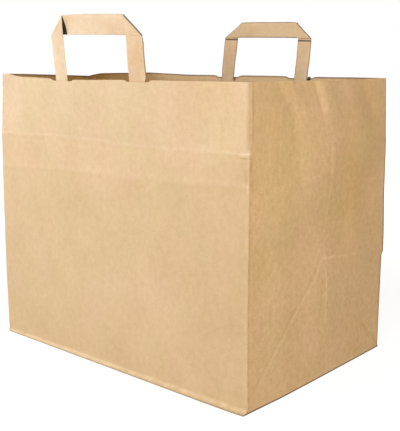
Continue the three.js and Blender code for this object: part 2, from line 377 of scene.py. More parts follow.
class ShaderGraph:
    """A node tree with one way to add any node to it."""

    def __init__(self, tree: bpy.types.NodeTree) -> None:
        """Start from an empty tree."""
        self.tree = tree
        tree.nodes.clear()

    def node(
        self,
        kind: str,
        settings: dict[str, Any] | None = None,
        sockets: dict[str | int, Value] | None = None,
        output: str | int = 0,
    ) -> Signal:
        """Add a node.

        Args:
            kind: Type name of the node.
            settings: Properties of the node, which are set first.
            sockets: Values or links of its inputs, by name, identifier or number.
            output: Name or number of the output to give back.

        Returns:
            The chosen output, or nothing where the node has none.
        """
        made = self.tree.nodes.new(kind)
        for name, setting in (settings or {}).items():
            setattr(made, name, setting)
        for key, value in (sockets or {}).items():
            socket = self._socket(made.inputs, key)
            if isinstance(value, Signal):
                self.tree.links.new(value.socket, socket)
            else:
                socket.default_value = value
        return Signal(self, self._socket(made.outputs, output)) if len(made.outputs) else None

    @staticmethod
    def _socket(sockets: Any, key: str | int) -> bpy.types.NodeSocket:
        """Find a socket.

        Args:
            sockets: The inputs or the outputs of a node.
            key: Its number, identifier or name.

        Returns:
            The socket.
        """
        if isinstance(key, int):
            return sockets[key]
        return next((s for s in sockets if s.identifier == key), None) or sockets[key]

    def vector(self, operation: str, first: Value, second: Value, output: str | int = 0) -> Signal:
        """Add a Vector Math node of two vectors."""
        return self.node("ShaderNodeVectorMath", {"operation": operation}, {0: first, 1: second}, output)

    def join(self, x: Value, y: Value, z: Value = 0.0) -> Signal:
        """Join three values into a vector."""
        return self.node("ShaderNodeCombineXYZ", None, {0: x, 1: y, 2: z})

    def part(self, vector: Value, axis: int) -> Signal:
        """One part of a vector."""
        return self.node("ShaderNodeSeparateXYZ", None, {0: vector}, axis)

    def noise(self, place: Value, grain: Grain) -> Signal:
        """Soft noise on the sheet.

        Args:
            place: Place on the sheet.
            grain: Which layer it is.

        Returns:
            Noise around 0.
        """
        settings = {"noise_dimensions": "4D", "normalize": True}
        sockets = {
            "Vector": self.vector("MULTIPLY", place, (1 / grain.size[0], 1 / grain.size[1], 0.0)),
            "W": grain.seed,
            "Scale": 1.0,
            "Detail": grain.detail,
            "Roughness": grain.roughness,
        }
        return self.node("ShaderNodeTexNoise", settings, sockets, "Fac") - 0.5

    def mix(self, share: Value, first: Value, second: Value) -> Signal:
        """Mix two colours.

        Args:
            share: How much of the second colour there is.
            first: First colour.
            second: Second colour.

        Returns:
            The mixed colour.
        """
        settings = {"data_type": "RGBA", "blend_type": "MIX", "clamp_factor": True}
        sockets = {"Factor_Float": share, "A_Color": first, "B_Color": second}
        return self.node("ShaderNodeMix", settings, sockets, "Result_Color")

    def tint(self, share: Value, colour: Signal, tint: Triple) -> Signal:
        """Multiply a share of a colour by a tint."""
        return self.mix(share, colour, self.vector("MULTIPLY", colour, tint))


def linear(red: float, green: float, blue: float) -> Colour:
    """A screen colour as the linear colour that a shader takes.

    Args:
        red: Red, from 0 to 255.
        green: Green, from 0 to 255.
        blue: Blue, from 0 to 255.

    Returns:
        The linear colour, opaque.
    """
    share = np.array([red, green, blue]) / 255
    value = np.where(share <= 0.04045, share / 12.92, ((share + 0.055) / 1.055) ** 2.4)
    return (*value.tolist(), 1.0)


@dataclass(frozen=True)
class Stroke:
    """A pressed or worn line on the sheet, from one place to another.

    Places are across and up the flat sheet. A positive wear is a pale line, partly worn paper and
    partly painted highlight on a ridge; a negative one is a darker line, partly pressed paper and partly
    painted shade in a valley. The ridge is how far the line stands out of the paper. The shade is how
    much of the line is lost in painted shade.
    """

    start: Pair
    end: Pair
    width: float = 1.0
    wear_light_and_shade: float = 0.0
    ridge: float = 0.0
    fade: float = 12.0
    shade: float = 0.0

    def mask(self, graph: ShaderGraph, place: Signal) -> Signal:
        """How much of the line there is at a place.

        Args:
            graph: Graph to draw in.
            place: Place on the sheet.

        Returns:
            1 on the line, 0 away from it and past its ends.
        """
        run = Vector(self.end) - Vector(self.start)
        length = run.length
        way = (*(run / length), 0.0)
        side = (-way[1], way[0], 0.0)
        offset = graph.vector("SUBTRACT", place, (*self.start, 0.0))
        along = graph.vector("DOT_PRODUCT", offset, way, "Value")
        aside = abs(graph.vector("DOT_PRODUCT", offset, side, "Value"))
        begun = along.ease(-self.fade, self.fade / 2)
        ended = along.ease(length + self.fade, length - self.fade / 2)
        return aside.ease(self.width, 0.0) * (begun * ended)


@dataclass(frozen=True)
class Blotch:
    """A soft cloud of painted light and shade on the paper: paler when its depth is positive."""

    middle: Pair
    reach: Pair
    depth: float

    def mask(self, graph: ShaderGraph, place: Signal) -> Signal:
        """How much of the cloud there is at a place.

        Args:
            graph: Graph to draw in.
            place: Place on the sheet.

        Returns:
            1 in its middle, 0 from its reach on.
        """
        offset = graph.vector("SUBTRACT", place, (*self.middle, 0.0))
        scaled = graph.vector("MULTIPLY", offset, (1 / self.reach[0], 1 / self.reach[1], 0.0))
        return graph.vector("LENGTH", scaled, (0, 0, 0), "Value").ease(1.0, 0.0)


@dataclass(frozen=True)
class StrapLines:
    """Painted shade on a strap: dark lines on its folded edges and slanted folds, and the dark one under
    its bar.

    Each ease is the pair of distances between which a line comes in, or goes out.
    """

    width: float
    leg: float
    length: float
    edges: float
    folds: float
    whole: bool
    crevice: float = 0.0
    below: Pair = (0.0, 0.0)
    edge_ease: Pair = (1.2, 0.3)
    leg_ease: Pair = (8.0, 11.0)
    bar_ease: Pair = (9.0, 12.0)
    fold_ease: Pair = (1.9, 0.7)
    fold_shift: float = 1.1
    crevice_soft: float = 0.3

    def mask(self, across: Signal, flat: Signal) -> Signal:
        """How much of the lines there is at a place.

        Args:
            across: Place across the strip.
            flat: Place along the strip.

        Returns:
            The share of the lines: on every edge, or on the right leg's outside and its fold alone.
        """
        half_bar = self.length / 2 - self.leg
        run = abs(flat - self.length / 2)
        edge = abs(across).ease(*(self.width / 2 - end for end in self.edge_ease))
        free = run.ease(*(half_bar + end for end in self.leg_ease))
        fold = abs(run - half_bar + across + self.fold_shift).ease(*self.fold_ease)
        if self.whole:
            free = free + run.ease(*(half_bar - end for end in self.bar_ease))
            return (edge * free * self.edges).most(fold * self.folds)
        right = flat.ease(self.length / 2, self.length / 2 + 4)
        outside = across.ease(0.0, -2.0)
        return (edge * free * outside * self.edges).most(fold * self.folds) * right

    def under_bar(self, flat: Signal) -> Signal:
        """How much of the painted shade on the legs under the bar there is at a place.

        Args:
            flat: Place along the strip.

        Returns:
            1 on the line and 0 away from it.
        """
        second = flat.ease(self.length / 2 - 1, self.length / 2 + 1)
        below = second * (self.below[1] - self.below[0]) + self.below[0]
        from_end = self.length / 2 - abs(flat - self.length / 2)
        away = abs(from_end - self.leg + self.width / 2 + below)
        return away.ease(self.crevice + self.crevice_soft, self.crevice - self.crevice_soft)


@dataclass(frozen=True)
class Fibres:
    """Short fibres that lie one way, which show where their noise is above a level."""

    turn: float
    seed: float
    level: float
    size: Pair = (0.42, 2.2)
    softness: float = 0.09

    def mask(self, graph: ShaderGraph, place: Signal) -> Signal:
        """How much of a fibre there is at a place.

        Args:
            graph: Graph to draw in.
            place: Place on the sheet.

        Returns:
            1 on a fibre and 0 beside it.
        """
        sockets = {"Vector": place, "Angle": math.radians(self.turn)}
        turned = graph.node("ShaderNodeVectorRotate", {"rotation_type": "Z_AXIS"}, sockets)
        noise = graph.noise(turned, Grain(self.size, self.seed, 1.0))
        return noise.ease(self.level, self.level + self.softness)


PALE_FIBRES = (Fibres(14, 3.3, 0.14), Fibres(-38, 9.1, 0.15))
DARK_FIBRES = Fibres(62, 5.7, 0.18)


@dataclass(frozen=True)
class KraftPaper:
    """Unbleached kraft paper: a warm tan with clouds, grain streaks, fibres, worn creases, and painted
    light and shade.
    """

    name: str
    tone: Colour
    warm: Colour = linear(206, 179, 143)
    pale: Colour = linear(238, 214, 176)
    dark: Colour = linear(170, 128, 84)
    strokes: tuple[Stroke, ...] = ()
    # Painted light and shade: soft paler and darker clouds.
    light_and_shade_clouds: tuple[Blotch, ...] = ()
    half_round: float = 0.0
    panel_width: float = 0.0
    strap: StrapLines | None = None
    # Painted shade: dark spots and lines placed on the raw sheet, on one half only.
    shade_spots: tuple[Blotch, ...] = ()
    # Painted shade: golden clouds and their tint, for the dimmer, more saturated rear of the gusset.
    golden_shade_clouds: tuple[Blotch, ...] = ()
    golden_shade_tint: Triple = (0.99, 0.95, 0.8)
    # Painted highlight: the paler, whiter tint of the band under the rim, for the light that the leaning
    # band catches.
    band_highlight_tint: Triple = (1.10, 1.13, 1.23)
    # Painted light: the inside is lit more brightly than the lamps reach it.
    inside_light_tint: Triple = (1.15, 1.12, 1.07)
    shade: Colour = (0.13, 0.085, 0.045, 1.0)
    # Painted shade: the near-black contact line along the foot, where the bag meets the floor.
    foot_shade: Colour = (0.03, 0.02, 0.01, 1.0)
    crevice_shade: Colour = (0.03, 0.02, 0.012, 1.0)
    gap_shade: Colour = (0.006, 0.004, 0.002, 1.0)
    depth_parts: Triple = (0.76, 1.0, 1.4)
    clouding: float = 0.27
    flocking: float = 0.3
    specking: float = 0.2
    streaking: float = 0.06
    gusset_coarseness: float = 0.8
    pale_fibre_share: float = 0.06
    dark_fibre_share: float = 0.2
    tooth_height: float = 0.05
    flock_height: float = 0.16
    fibre_height: float = 0.012
    roughness: float = 0.66
    roughness_range: float = 0.18
    gloss: float = 0.35
    band_waver: float = 9.0
    band_steps: tuple[Triple, Triple] = ((-12.0, 1.0, 0.5), (-1.2, 0.6, 0.25))
    slack_slope: float = 0.024
    slack_step: Pair = (-33.0, -28.0)
    slack_across: Pair = (-110.0, 0.0)
    slack_share: Pair = (0.08, 0.27)
    foot_line: Pair = (1.5, 0.7)
    foot_lift: float = 0.6
    foot_depth: Pair = (-130.0, -140.0)
    foot_share: float = 0.4
    inner_rim: Pair = (-2.2, -0.8)
    inner_rim_share: float = 0.75
    crevice_share: float = 0.85
    gap_ease: Pair = (0.25, -0.25)
    gap_share: float = 0.97
    golden_waver: float = 20.0
    cloud_waver: float = 8.0
    stroke_waver: float = 2.2
    worn_ease: Pair = (0.25, 0.7)

    @property
    def half_panel(self) -> float:
        """Half of the wide panel's width, where its right edge is."""
        return self.panel_width / 2

    def material(self) -> bpy.types.Material:
        """Make the material.

        Returns:
            A material with its colour, roughness and bump drawn from the sheet's own places.
        """
        made = bpy.data.materials.new(self.name)
        made.use_nodes = True
        graph = ShaderGraph(made.node_tree)
        place = graph.node("ShaderNodeAttribute", {"attribute_name": SHEET_PLACE}, None, "Vector")
        across = graph.part(place, 0)
        if self.half_round:
            across = (across + self.half_panel) % self.half_round - self.half_panel

        flocks = graph.noise(place, FLOCKS)
        pale_fibres = PALE_FIBRES[0].mask(graph, place) + PALE_FIBRES[1].mask(graph, place)
        wear_light_and_shade, ridges, shaded = self.creases(graph, place, across)
        # The painted light and shade of lines, clouds and spots join the paper's own mottling.
        depth = self.mottling(graph, place, across, flocks) + wear_light_and_shade
        shades = graph.join(*((1.0 + depth * part).most(0.02) for part in self.depth_parts))
        hue = graph.noise(place, WIDE_HUE) + graph.noise(place, FINE_HUE) * 0.4
        tone = graph.mix((hue + 0.5).ease(0.2, 0.8), self.tone, self.warm)
        tone = graph.mix(pale_fibres * self.pale_fibre_share, tone, self.pale)
        tone = graph.mix(DARK_FIBRES.mask(graph, place) * self.dark_fibre_share, tone, self.dark)
        colour = graph.vector("MULTIPLY", tone, shades)
        if self.half_round:
            colour = self.body_colour(graph, place, across, colour, shaded)
        if self.strap:
            colour = self.strap_shade(graph, place, colour)

        tooth = graph.noise(place, TOOTH) * self.tooth_height
        height = tooth + flocks * self.flock_height + pale_fibres * self.fibre_height + ridges
        normal = graph.node("ShaderNodeBump", None, {"Strength": 1.0, "Distance": MM, "Height": height})
        sockets = {
            "Base Color": colour,
            "Roughness": self.roughness + flocks * self.roughness_range,
            "Specular IOR Level": self.gloss,
            "Normal": normal,
        }
        shader = graph.node("ShaderNodeBsdfPrincipled", None, sockets)
        graph.node("ShaderNodeOutputMaterial", None, {"Surface": shader})
        return made

    def mottling(self, graph: ShaderGraph, place: Signal, across: Signal, flocks: Signal) -> Signal:
        """The uneven tone of the paper, which is coarser on the gussets.

        Args:
            graph: Graph to draw in.
            place: Place on the sheet.
            across: Place across the half sheet.
            flocks: The layer of flocks.

        Returns:
            How much lighter the paper is, around 0.
        """
        coarse: Value = 1.0
        if self.half_round:
            gusset = across.ease(self.half_panel - 1, self.half_panel + 1)
            coarse = 1.0 + gusset * self.gusset_coarseness
        specks = graph.noise(place, SPECKS) * self.specking
        streaks = graph.noise(place, STREAKS) * self.streaking
        clouds = graph.noise(place, CLOUDS) * self.clouding
        return clouds + (flocks * self.flocking + specks) * coarse + streaks

    def body_colour(
        self, graph: ShaderGraph, place: Signal, across: Signal, colour: Signal, shaded: Value
    ) -> Signal:
        """Add what the body's sheet alone has.

        Args:
            graph: Graph to draw in.
            place: Place on the sheet.
            across: Place across the half sheet.
            colour: Colour of the plain paper.
            shaded: How much of it is lost in the shade of a line.

        Returns:
            The colour with the painted highlight on the band, painted shade on lines and along the foot,
            painted light inside with painted shade at its rim, and golden clouds of painted shade.
        """
        # Painted highlight on the band under the rim.
        colour = graph.tint(self.band(graph, place, across), colour, self.band_highlight_tint)
        # Painted shade on the shaded lines.
        colour = graph.mix(shaded, colour, self.shade)
        # Painted shade: a dark contact line along the foot, stronger on the gussets.
        side = across.ease(self.half_panel - 2, self.half_panel + 2)
        foot = (graph.part(place, 1) - side * self.foot_lift).ease(*self.foot_line)
        outside = graph.part(place, 2).ease(*self.foot_depth)
        share = self.foot_share + side * self.foot_share
        colour = graph.mix(foot * outside * share, colour, self.foot_shade)
        # Painted light on the inside and painted shade on its rim.
        colour = self.inner_side(graph, place, colour)
        # Painted shade as golden clouds.
        return graph.tint(self.golden_shade_share(graph, place, across), colour, self.golden_shade_tint)

    def inside(self, graph: ShaderGraph, place: Signal) -> Signal:
        """1 on the inside of the body and 0 on its outside."""
        return graph.part(place, 0).ease(*(turns * self.half_round for turns in INSIDE_FROM))

    def band(self, graph: ShaderGraph, place: Signal, across: Signal) -> Signal:
        """Where the painted highlight lies: on the wide panels' band under the rim, which leans out and
        catches more light than the rest, and faintly a little way below its crease.

        Args:
            graph: Graph to draw in.
            place: Place on the sheet.
            across: Place across the half sheet.

        Returns:
            1 on the band, 0 below its crease and on the gussets.
        """
        over = graph.part(place, 2) + graph.noise(place, BAND_EDGE) * self.band_waver
        soft, sharp = (over.ease(low, high) * share for low, high, share in self.band_steps)
        slack = (over - across * self.slack_slope).ease(*self.slack_step)
        least, more = self.slack_share
        slack = slack * (least + across.ease(*self.slack_across) * more)
        panel = abs(across).ease(self.half_panel + 4.0, self.half_panel + 1.0)
        return (soft + sharp + slack) * panel * (1.0 - self.inside(graph, place))

    def golden_shade_share(self, graph: ShaderGraph, place: Signal, across: Signal) -> Value:
        """Where the paper gets the golden tint of painted shade.

        Args:
            graph: Graph to draw in.
            place: Place on the sheet.
            across: Place across the half sheet.

        Returns:
            The share of the golden tint.
        """
        shake = graph.noise(place, SHAKE) * self.golden_waver
        shaken = graph.join(across + shake, graph.part(place, 1) + shake)
        share: Value = 0.0
        for cloud in self.golden_shade_clouds:
            share = cloud.mask(graph, shaken) * cloud.depth + share
        return share

    def inner_side(self, graph: ShaderGraph, place: Signal, colour: Signal) -> Signal:
        """Lighten the inside of the bag with painted light and darken its rim with painted shade.

        Args:
            graph: Graph to draw in.
            place: Place on the sheet.
            colour: Colour of the plain paper.

        Returns:
            The colour of both sides.
        """
        inside = self.inside(graph, place)
        rim = graph.part(place, 2).ease(*self.inner_rim) * self.inner_rim_share
        return graph.mix(inside * rim, graph.tint(inside, colour, self.inside_light_tint), self.shade)

    def strap_shade(self, graph: ShaderGraph, place: Signal, colour: Signal) -> Signal:
        """Draw the painted shade of a strap.

        Args:
            graph: Graph to draw in.
            place: Place on the sheet.
            colour: Colour of the plain strap.

        Returns:
            The colour with painted shade on the folded edges and slanted folds, under the bar and in the
            dark gaps that no light gets into.
        """
        flat = graph.part(place, 1)
        third = graph.part(place, 2)
        lines = self.strap.mask(graph.part(place, 0) - STRAP_START, flat)
        # Painted shade on the folded edges and slanted folds.
        colour = graph.mix(lines, colour, self.shade)
        if self.strap.crevice:
            # Painted shade under the bar.
            under = self.strap.under_bar(flat) * third.ease(*STRAP_BACK)
            colour = graph.mix(under * self.crevice_share, colour, self.crevice_shade)
        # Painted shade in the open fold's gap.
        return graph.mix(third.ease(*self.gap_ease) * self.gap_share, colour, self.gap_shade)

    def creases(self, graph: ShaderGraph, place: Signal, across: Signal) -> tuple[Value, Value, Value]:
        """Draw the worn and pressed lines with their painted highlights and shade, and the clouds and
        spots of painted light and shade.

        Args:
            graph: Graph to draw in.
            place: Place on the sheet.
            across: Place across the half sheet.

        Returns:
            How much lighter the paper is, how far it stands out, and how much of it is in shade.
        """
        wear_light_and_shade: Value = 0.0
        ridges: Value = 0.0
        shaded: Value = 0.0
        up = graph.part(place, 1)
        shake = graph.noise(place, SHAKE) * self.stroke_waver
        shaken = graph.join(across + shake, up + shake)
        wider = shake * self.cloud_waver
        wide = graph.join(across + wider, up + wider)
        patchy = (graph.noise(place, WORN_PATCHES) + 0.5).ease(*self.worn_ease)
        # Painted light and shade from the soft clouds.
        for blotch in self.light_and_shade_clouds:
            wear_light_and_shade = blotch.mask(graph, wide) * blotch.depth + wear_light_and_shade
        # Painted shade of the spots.
        for spot in self.shade_spots:
            wear_light_and_shade = spot.mask(graph, place) * spot.depth + wear_light_and_shade
        for stroke in self.strokes:
            mask = stroke.mask(graph, shaken)
            wear_light_and_shade = mask * patchy * stroke.wear_light_and_shade + wear_light_and_shade
            ridges = mask * stroke.ridge + ridges
            if stroke.shade:
                shaded = mask * stroke.shade + shaded
        return wear_light_and_shade, ridges, shaded


# The folded sheet


@dataclass(frozen=True)
class FoldLine:
    """One line up a gusset: its place across and how far it stands out at each of the form's heights."""

    place: tuple[float, ...]
    stand: tuple[float, ...]
    crisp: bool = False


@dataclass(frozen=True)
class GussetForm:
    """How a gusset stands out of the flat side, from the junction of the bottom's creases to the rim."""

    heights: tuple[float, ...]
    lines: tuple[FoldLine, ...]
    toe: float = 0.9
    toe_rise: Pair = (15.0, 80.0)
    toe_fall: Pair = (92.0, 113.0)
    toe_middle: float = 3.0
    toe_reach: float = 34.0
    softness: float = 4.0
    mirrored: bool = False

    def stand_out(self, across: Array, height: Array, half: float) -> Array:
        """How far the gusset stands out above the junction.

        Args:
            across: Places across the gusset, from its middle.
            height: Heights on the sheet.
            half: Half of the gusset's width.

        Returns:
            Distances out of the flat side.
        """
        own = (-across if self.mirrored else across) + np.zeros_like(height)
        none = np.zeros_like(height)
        read = [(none - half, none)]
        blur = np.clip(half - np.abs(own), 0, self.softness)
        for line in self.lines:
            place = np.interp(height, self.heights, line.place)
            stand = np.interp(height, self.heights, line.stand)
            read.append((place, stand))
            if line.crisp:
                blur = np.minimum(blur, 0.45 * np.abs(own - place))
        read.append((none + half, none))
        taps = np.linspace(-1, 1, 7)
        total = np.zeros_like(own)
        for tap in taps:
            spot = own + tap * blur
            for (start, low), (end, high) in zip(read, read[1:]):
                total += (high - low) * np.clip((spot - start) / (end - start), 0, 1) / len(taps)
        return total

    def toe_ridge(self, across: Array, height: Array) -> Array:
        """A short upright ridge below the junction."""
        line = smoothstep(height, *self.toe_rise) * (1 - smoothstep(height, *self.toe_fall))
        return self.toe * line * np.clip(1 - np.abs(across - self.toe_middle) / self.toe_reach, 0, None)


RIGHT_GUSSET = GussetForm(
    heights=(113.0, 140.0, 160.0, 188.0, 200.0, 213.0, 225.0, 245.0, 264.0, 272.0),
    lines=(
        FoldLine(
            (-92, -92, -92, -90, -90, -75, -75, -73, -80, -84),
            (0.5, 0.8, 1.6, 2.6, 2.1, 0.7, 0.3, 0.9, -0.7, -0.9),
        ),
        FoldLine(
            (-70, -70, -70, -58, -48, -45, -46, -50, -63, -68),
            (0.9, 1.4, 2.5, 5.0, 3.8, 1.5, 0.3, -0.1, -2.1, -2.6),
            crisp=True,
        ),
        FoldLine(
            (-40, -34, -28, -30, -33, -33, -38, -35, -50, -54),
            (1.6, 1.9, 3.4, 7.1, 5.7, 3.3, 1.7, 2.8, 0.4, 0.0),
        ),
        FoldLine(
            (-12, -12, -10, -5, -3, -4, -8, -13, -18, -20),
            (1.2, 1.8, 2.9, 7.7, 7.7, 6.8, 5.1, 3.5, 0.0, -1.0),
            crisp=True,
        ),
        FoldLine(
            (0, 0, 1, 4, 4, 7, 4, -3, -6, -8),
            (1.4, 2.1, 3.5, 8.2, 8.5, 7.9, 6.4, 5.6, 2.9, 2.1),
            crisp=True,
        ),
        FoldLine(
            (10, 10, 10, 8, 10, 14, 14, 8, 2, 1),
            (2.0, 2.3, 3.1, 7.9, 8.2, 8.0, 7.1, 6.4, 3.5, 2.8),
        ),
        FoldLine(
            (45, 45, 50, 40, 32, 40, 40, 45, 44, 44),
            (2.6, 1.8, 1.6, 5.2, 7.3, 7.3, 7.1, 4.7, 1.0, 0.4),
        ),
        FoldLine(
            (80, 80, 80, 70, 70, 78, 76, 77, 66, 64),
            (1.0, 0.4, -1.0, 1.3, 1.9, 2.4, 3.4, 0.2, -0.8, -1.2),
        ),
        FoldLine(
            (94, 94, 94, 94, 84, 90, 90, 86, 84, 82),
            (0.5, 0.2, -0.5, 0.4, 1.5, 1.6, 2.2, 0.6, -0.2, -0.5),
        ),
    ),
)
LEFT_GUSSET = GussetForm(
    heights=(113.0, 150.0, 188.0, 213.0, 272.0),
    lines=(
        FoldLine((-46, -45, -45, -49, -62), (3.5, 3.4, 3.4, 3.2, -4.0)),
        FoldLine((0, 0, 0, 0, 0), (6.0, 6.4, 6.6, 6.2, -11.0), crisp=True),
        FoldLine((8, 9, 10, 12, 32), (5.8, 6.4, 6.6, 6.2, 0.4)),
        FoldLine((46, 48, 52, 55, 64), (3.5, 3.4, 3.4, 3.2, 0.0)),
    ),
    mirrored=True,
)


@dataclass(frozen=True)
class FootFlare:
    """How far the foot of one half of the bag stands off the plain box."""

    panel_aside: Pair
    panel_out: tuple[float, ...]
    gusset_out: tuple[float, ...]
    gusset_aside: Pair
    panel_knee: float = 0.0
    gusset_knee: float = 0.0
    knee_rise: Pair = (96.0, 101.0)
    knee_fall: Pair = (110.0, 165.0)
    fades_over: float = 55.0

    def knee(self, height: Array) -> Array:
        """How much of the small step over the bottom's creases there is at a height."""
        return smoothstep(height, *self.knee_rise) * (1 - smoothstep(height, *self.knee_fall))

    def panel(self, share: Array, height: Array) -> tuple[Array, Array]:
        """How far the panel moves off the plain box.

        Args:
            share: Places across it, from its left edge at -1 to its right edge at 1.
            height: Heights on the sheet.

        Returns:
            Distances aside and out.
        """
        fade = np.exp(-height / self.fades_over)
        aside = np.interp(share, (-1, 1), self.panel_aside) * fade
        out = np.interp(share, (-1, 0, 0.62, 0.94, 1), self.panel_out) * fade
        step = self.panel_knee * self.knee(height) * smoothstep(-share, 0.8, 1.0)
        return aside - step, out + step

    def gusset(self, share: Array, height: Array) -> tuple[Array, Array]:
        """How far the gusset moves off the plain box.

        Args:
            share: Places across it, from its front edge at -1 to its rear edge at 1.
            height: Heights on the sheet.

        Returns:
            Distances out and aside.
        """
        fade = np.exp(-height / self.fades_over)
        out = np.interp(share, (-1, -0.5, 0, 0.5, 1), self.gusset_out) * fade
        aside = np.interp(share, (-1, 1), (-self.gusset_aside[0], self.gusset_aside[1])) * fade
        step = self.gusset_knee * self.knee(height) * smoothstep(share, 0.7, 1.0)
        return out + step, aside + step


RIM_DIPS = {
    Side.FRONT: (
        (-160, -147, -130, -117, -105, -75, -30, 0, 30, 80, 160),
        (-0.9, -1.0, -0.3, 0.7, 1.3, 1.6, 2.2, 1.6, 0.9, 0.3, 0.0),
    ),
    Side.REAR: (
        (-160, -75, -34, 0, 70, 110, 160, 330, 377),
        (0.0, 0.8, 0.9, 0.9, 1.6, 1.6, 0.0, 0.0, -0.9),
    ),
}
FOOT_FLARES = {
    Side.FRONT: FootFlare(
        panel_aside=(1.8, 4.3),
        panel_out=(0.9, 2.0, 3.0, 3.0, 2.1),
        gusset_out=(4.3, 5.2, 4.0, 2.6, 1.1),
        gusset_aside=(2.1, 0.5),
        gusset_knee=1.0,
    ),
    Side.REAR: FootFlare(
        panel_aside=(-1.1, 1.0),
        panel_out=(0.5, 0.5, 0.5, 0.5, 0.5),
        gusset_out=(1.0, 0.6, 0.0, -0.8, -1.8),
        gusset_aside=(0.5, 0.9),
        panel_knee=1.0,
    ),
}

# Heights across the half sheet of the crease under the band and of the faint crease below it.
BAND_CREASE = (
    (-160, -110, -61, 0, 42, 110, 160, 200, 268.5, 330, 377),
    (211.8, 212.6, 214.0, 213, 212.2, 213.4, 214.6, 214, 213, 212.6, 211.8),
)
SLACK_CREASE = ((-160, -14, 109, 160, 268.5, 377), (178.6, 184, 187.6, 188.6, 186, 178.6))

# At each height, the share of the swell at the corners, and how far the most flattened edge is cut back.
CORNER_SWELL = (
    (0, 25, 60, 100, 150, 190, 213, 235, 255, 272),
    (0, 0.25, 0.55, 0.8, 1, 1, 0.95, 0.75, 0.4, 0),
)
FLATTENED_EDGE = ((216, 226, 240, 255, 272), (4.0, 4.5, 3.2, 2.0))
RIPPLE_SEEDS = {Side.FRONT: 11, Side.REAR: 23}


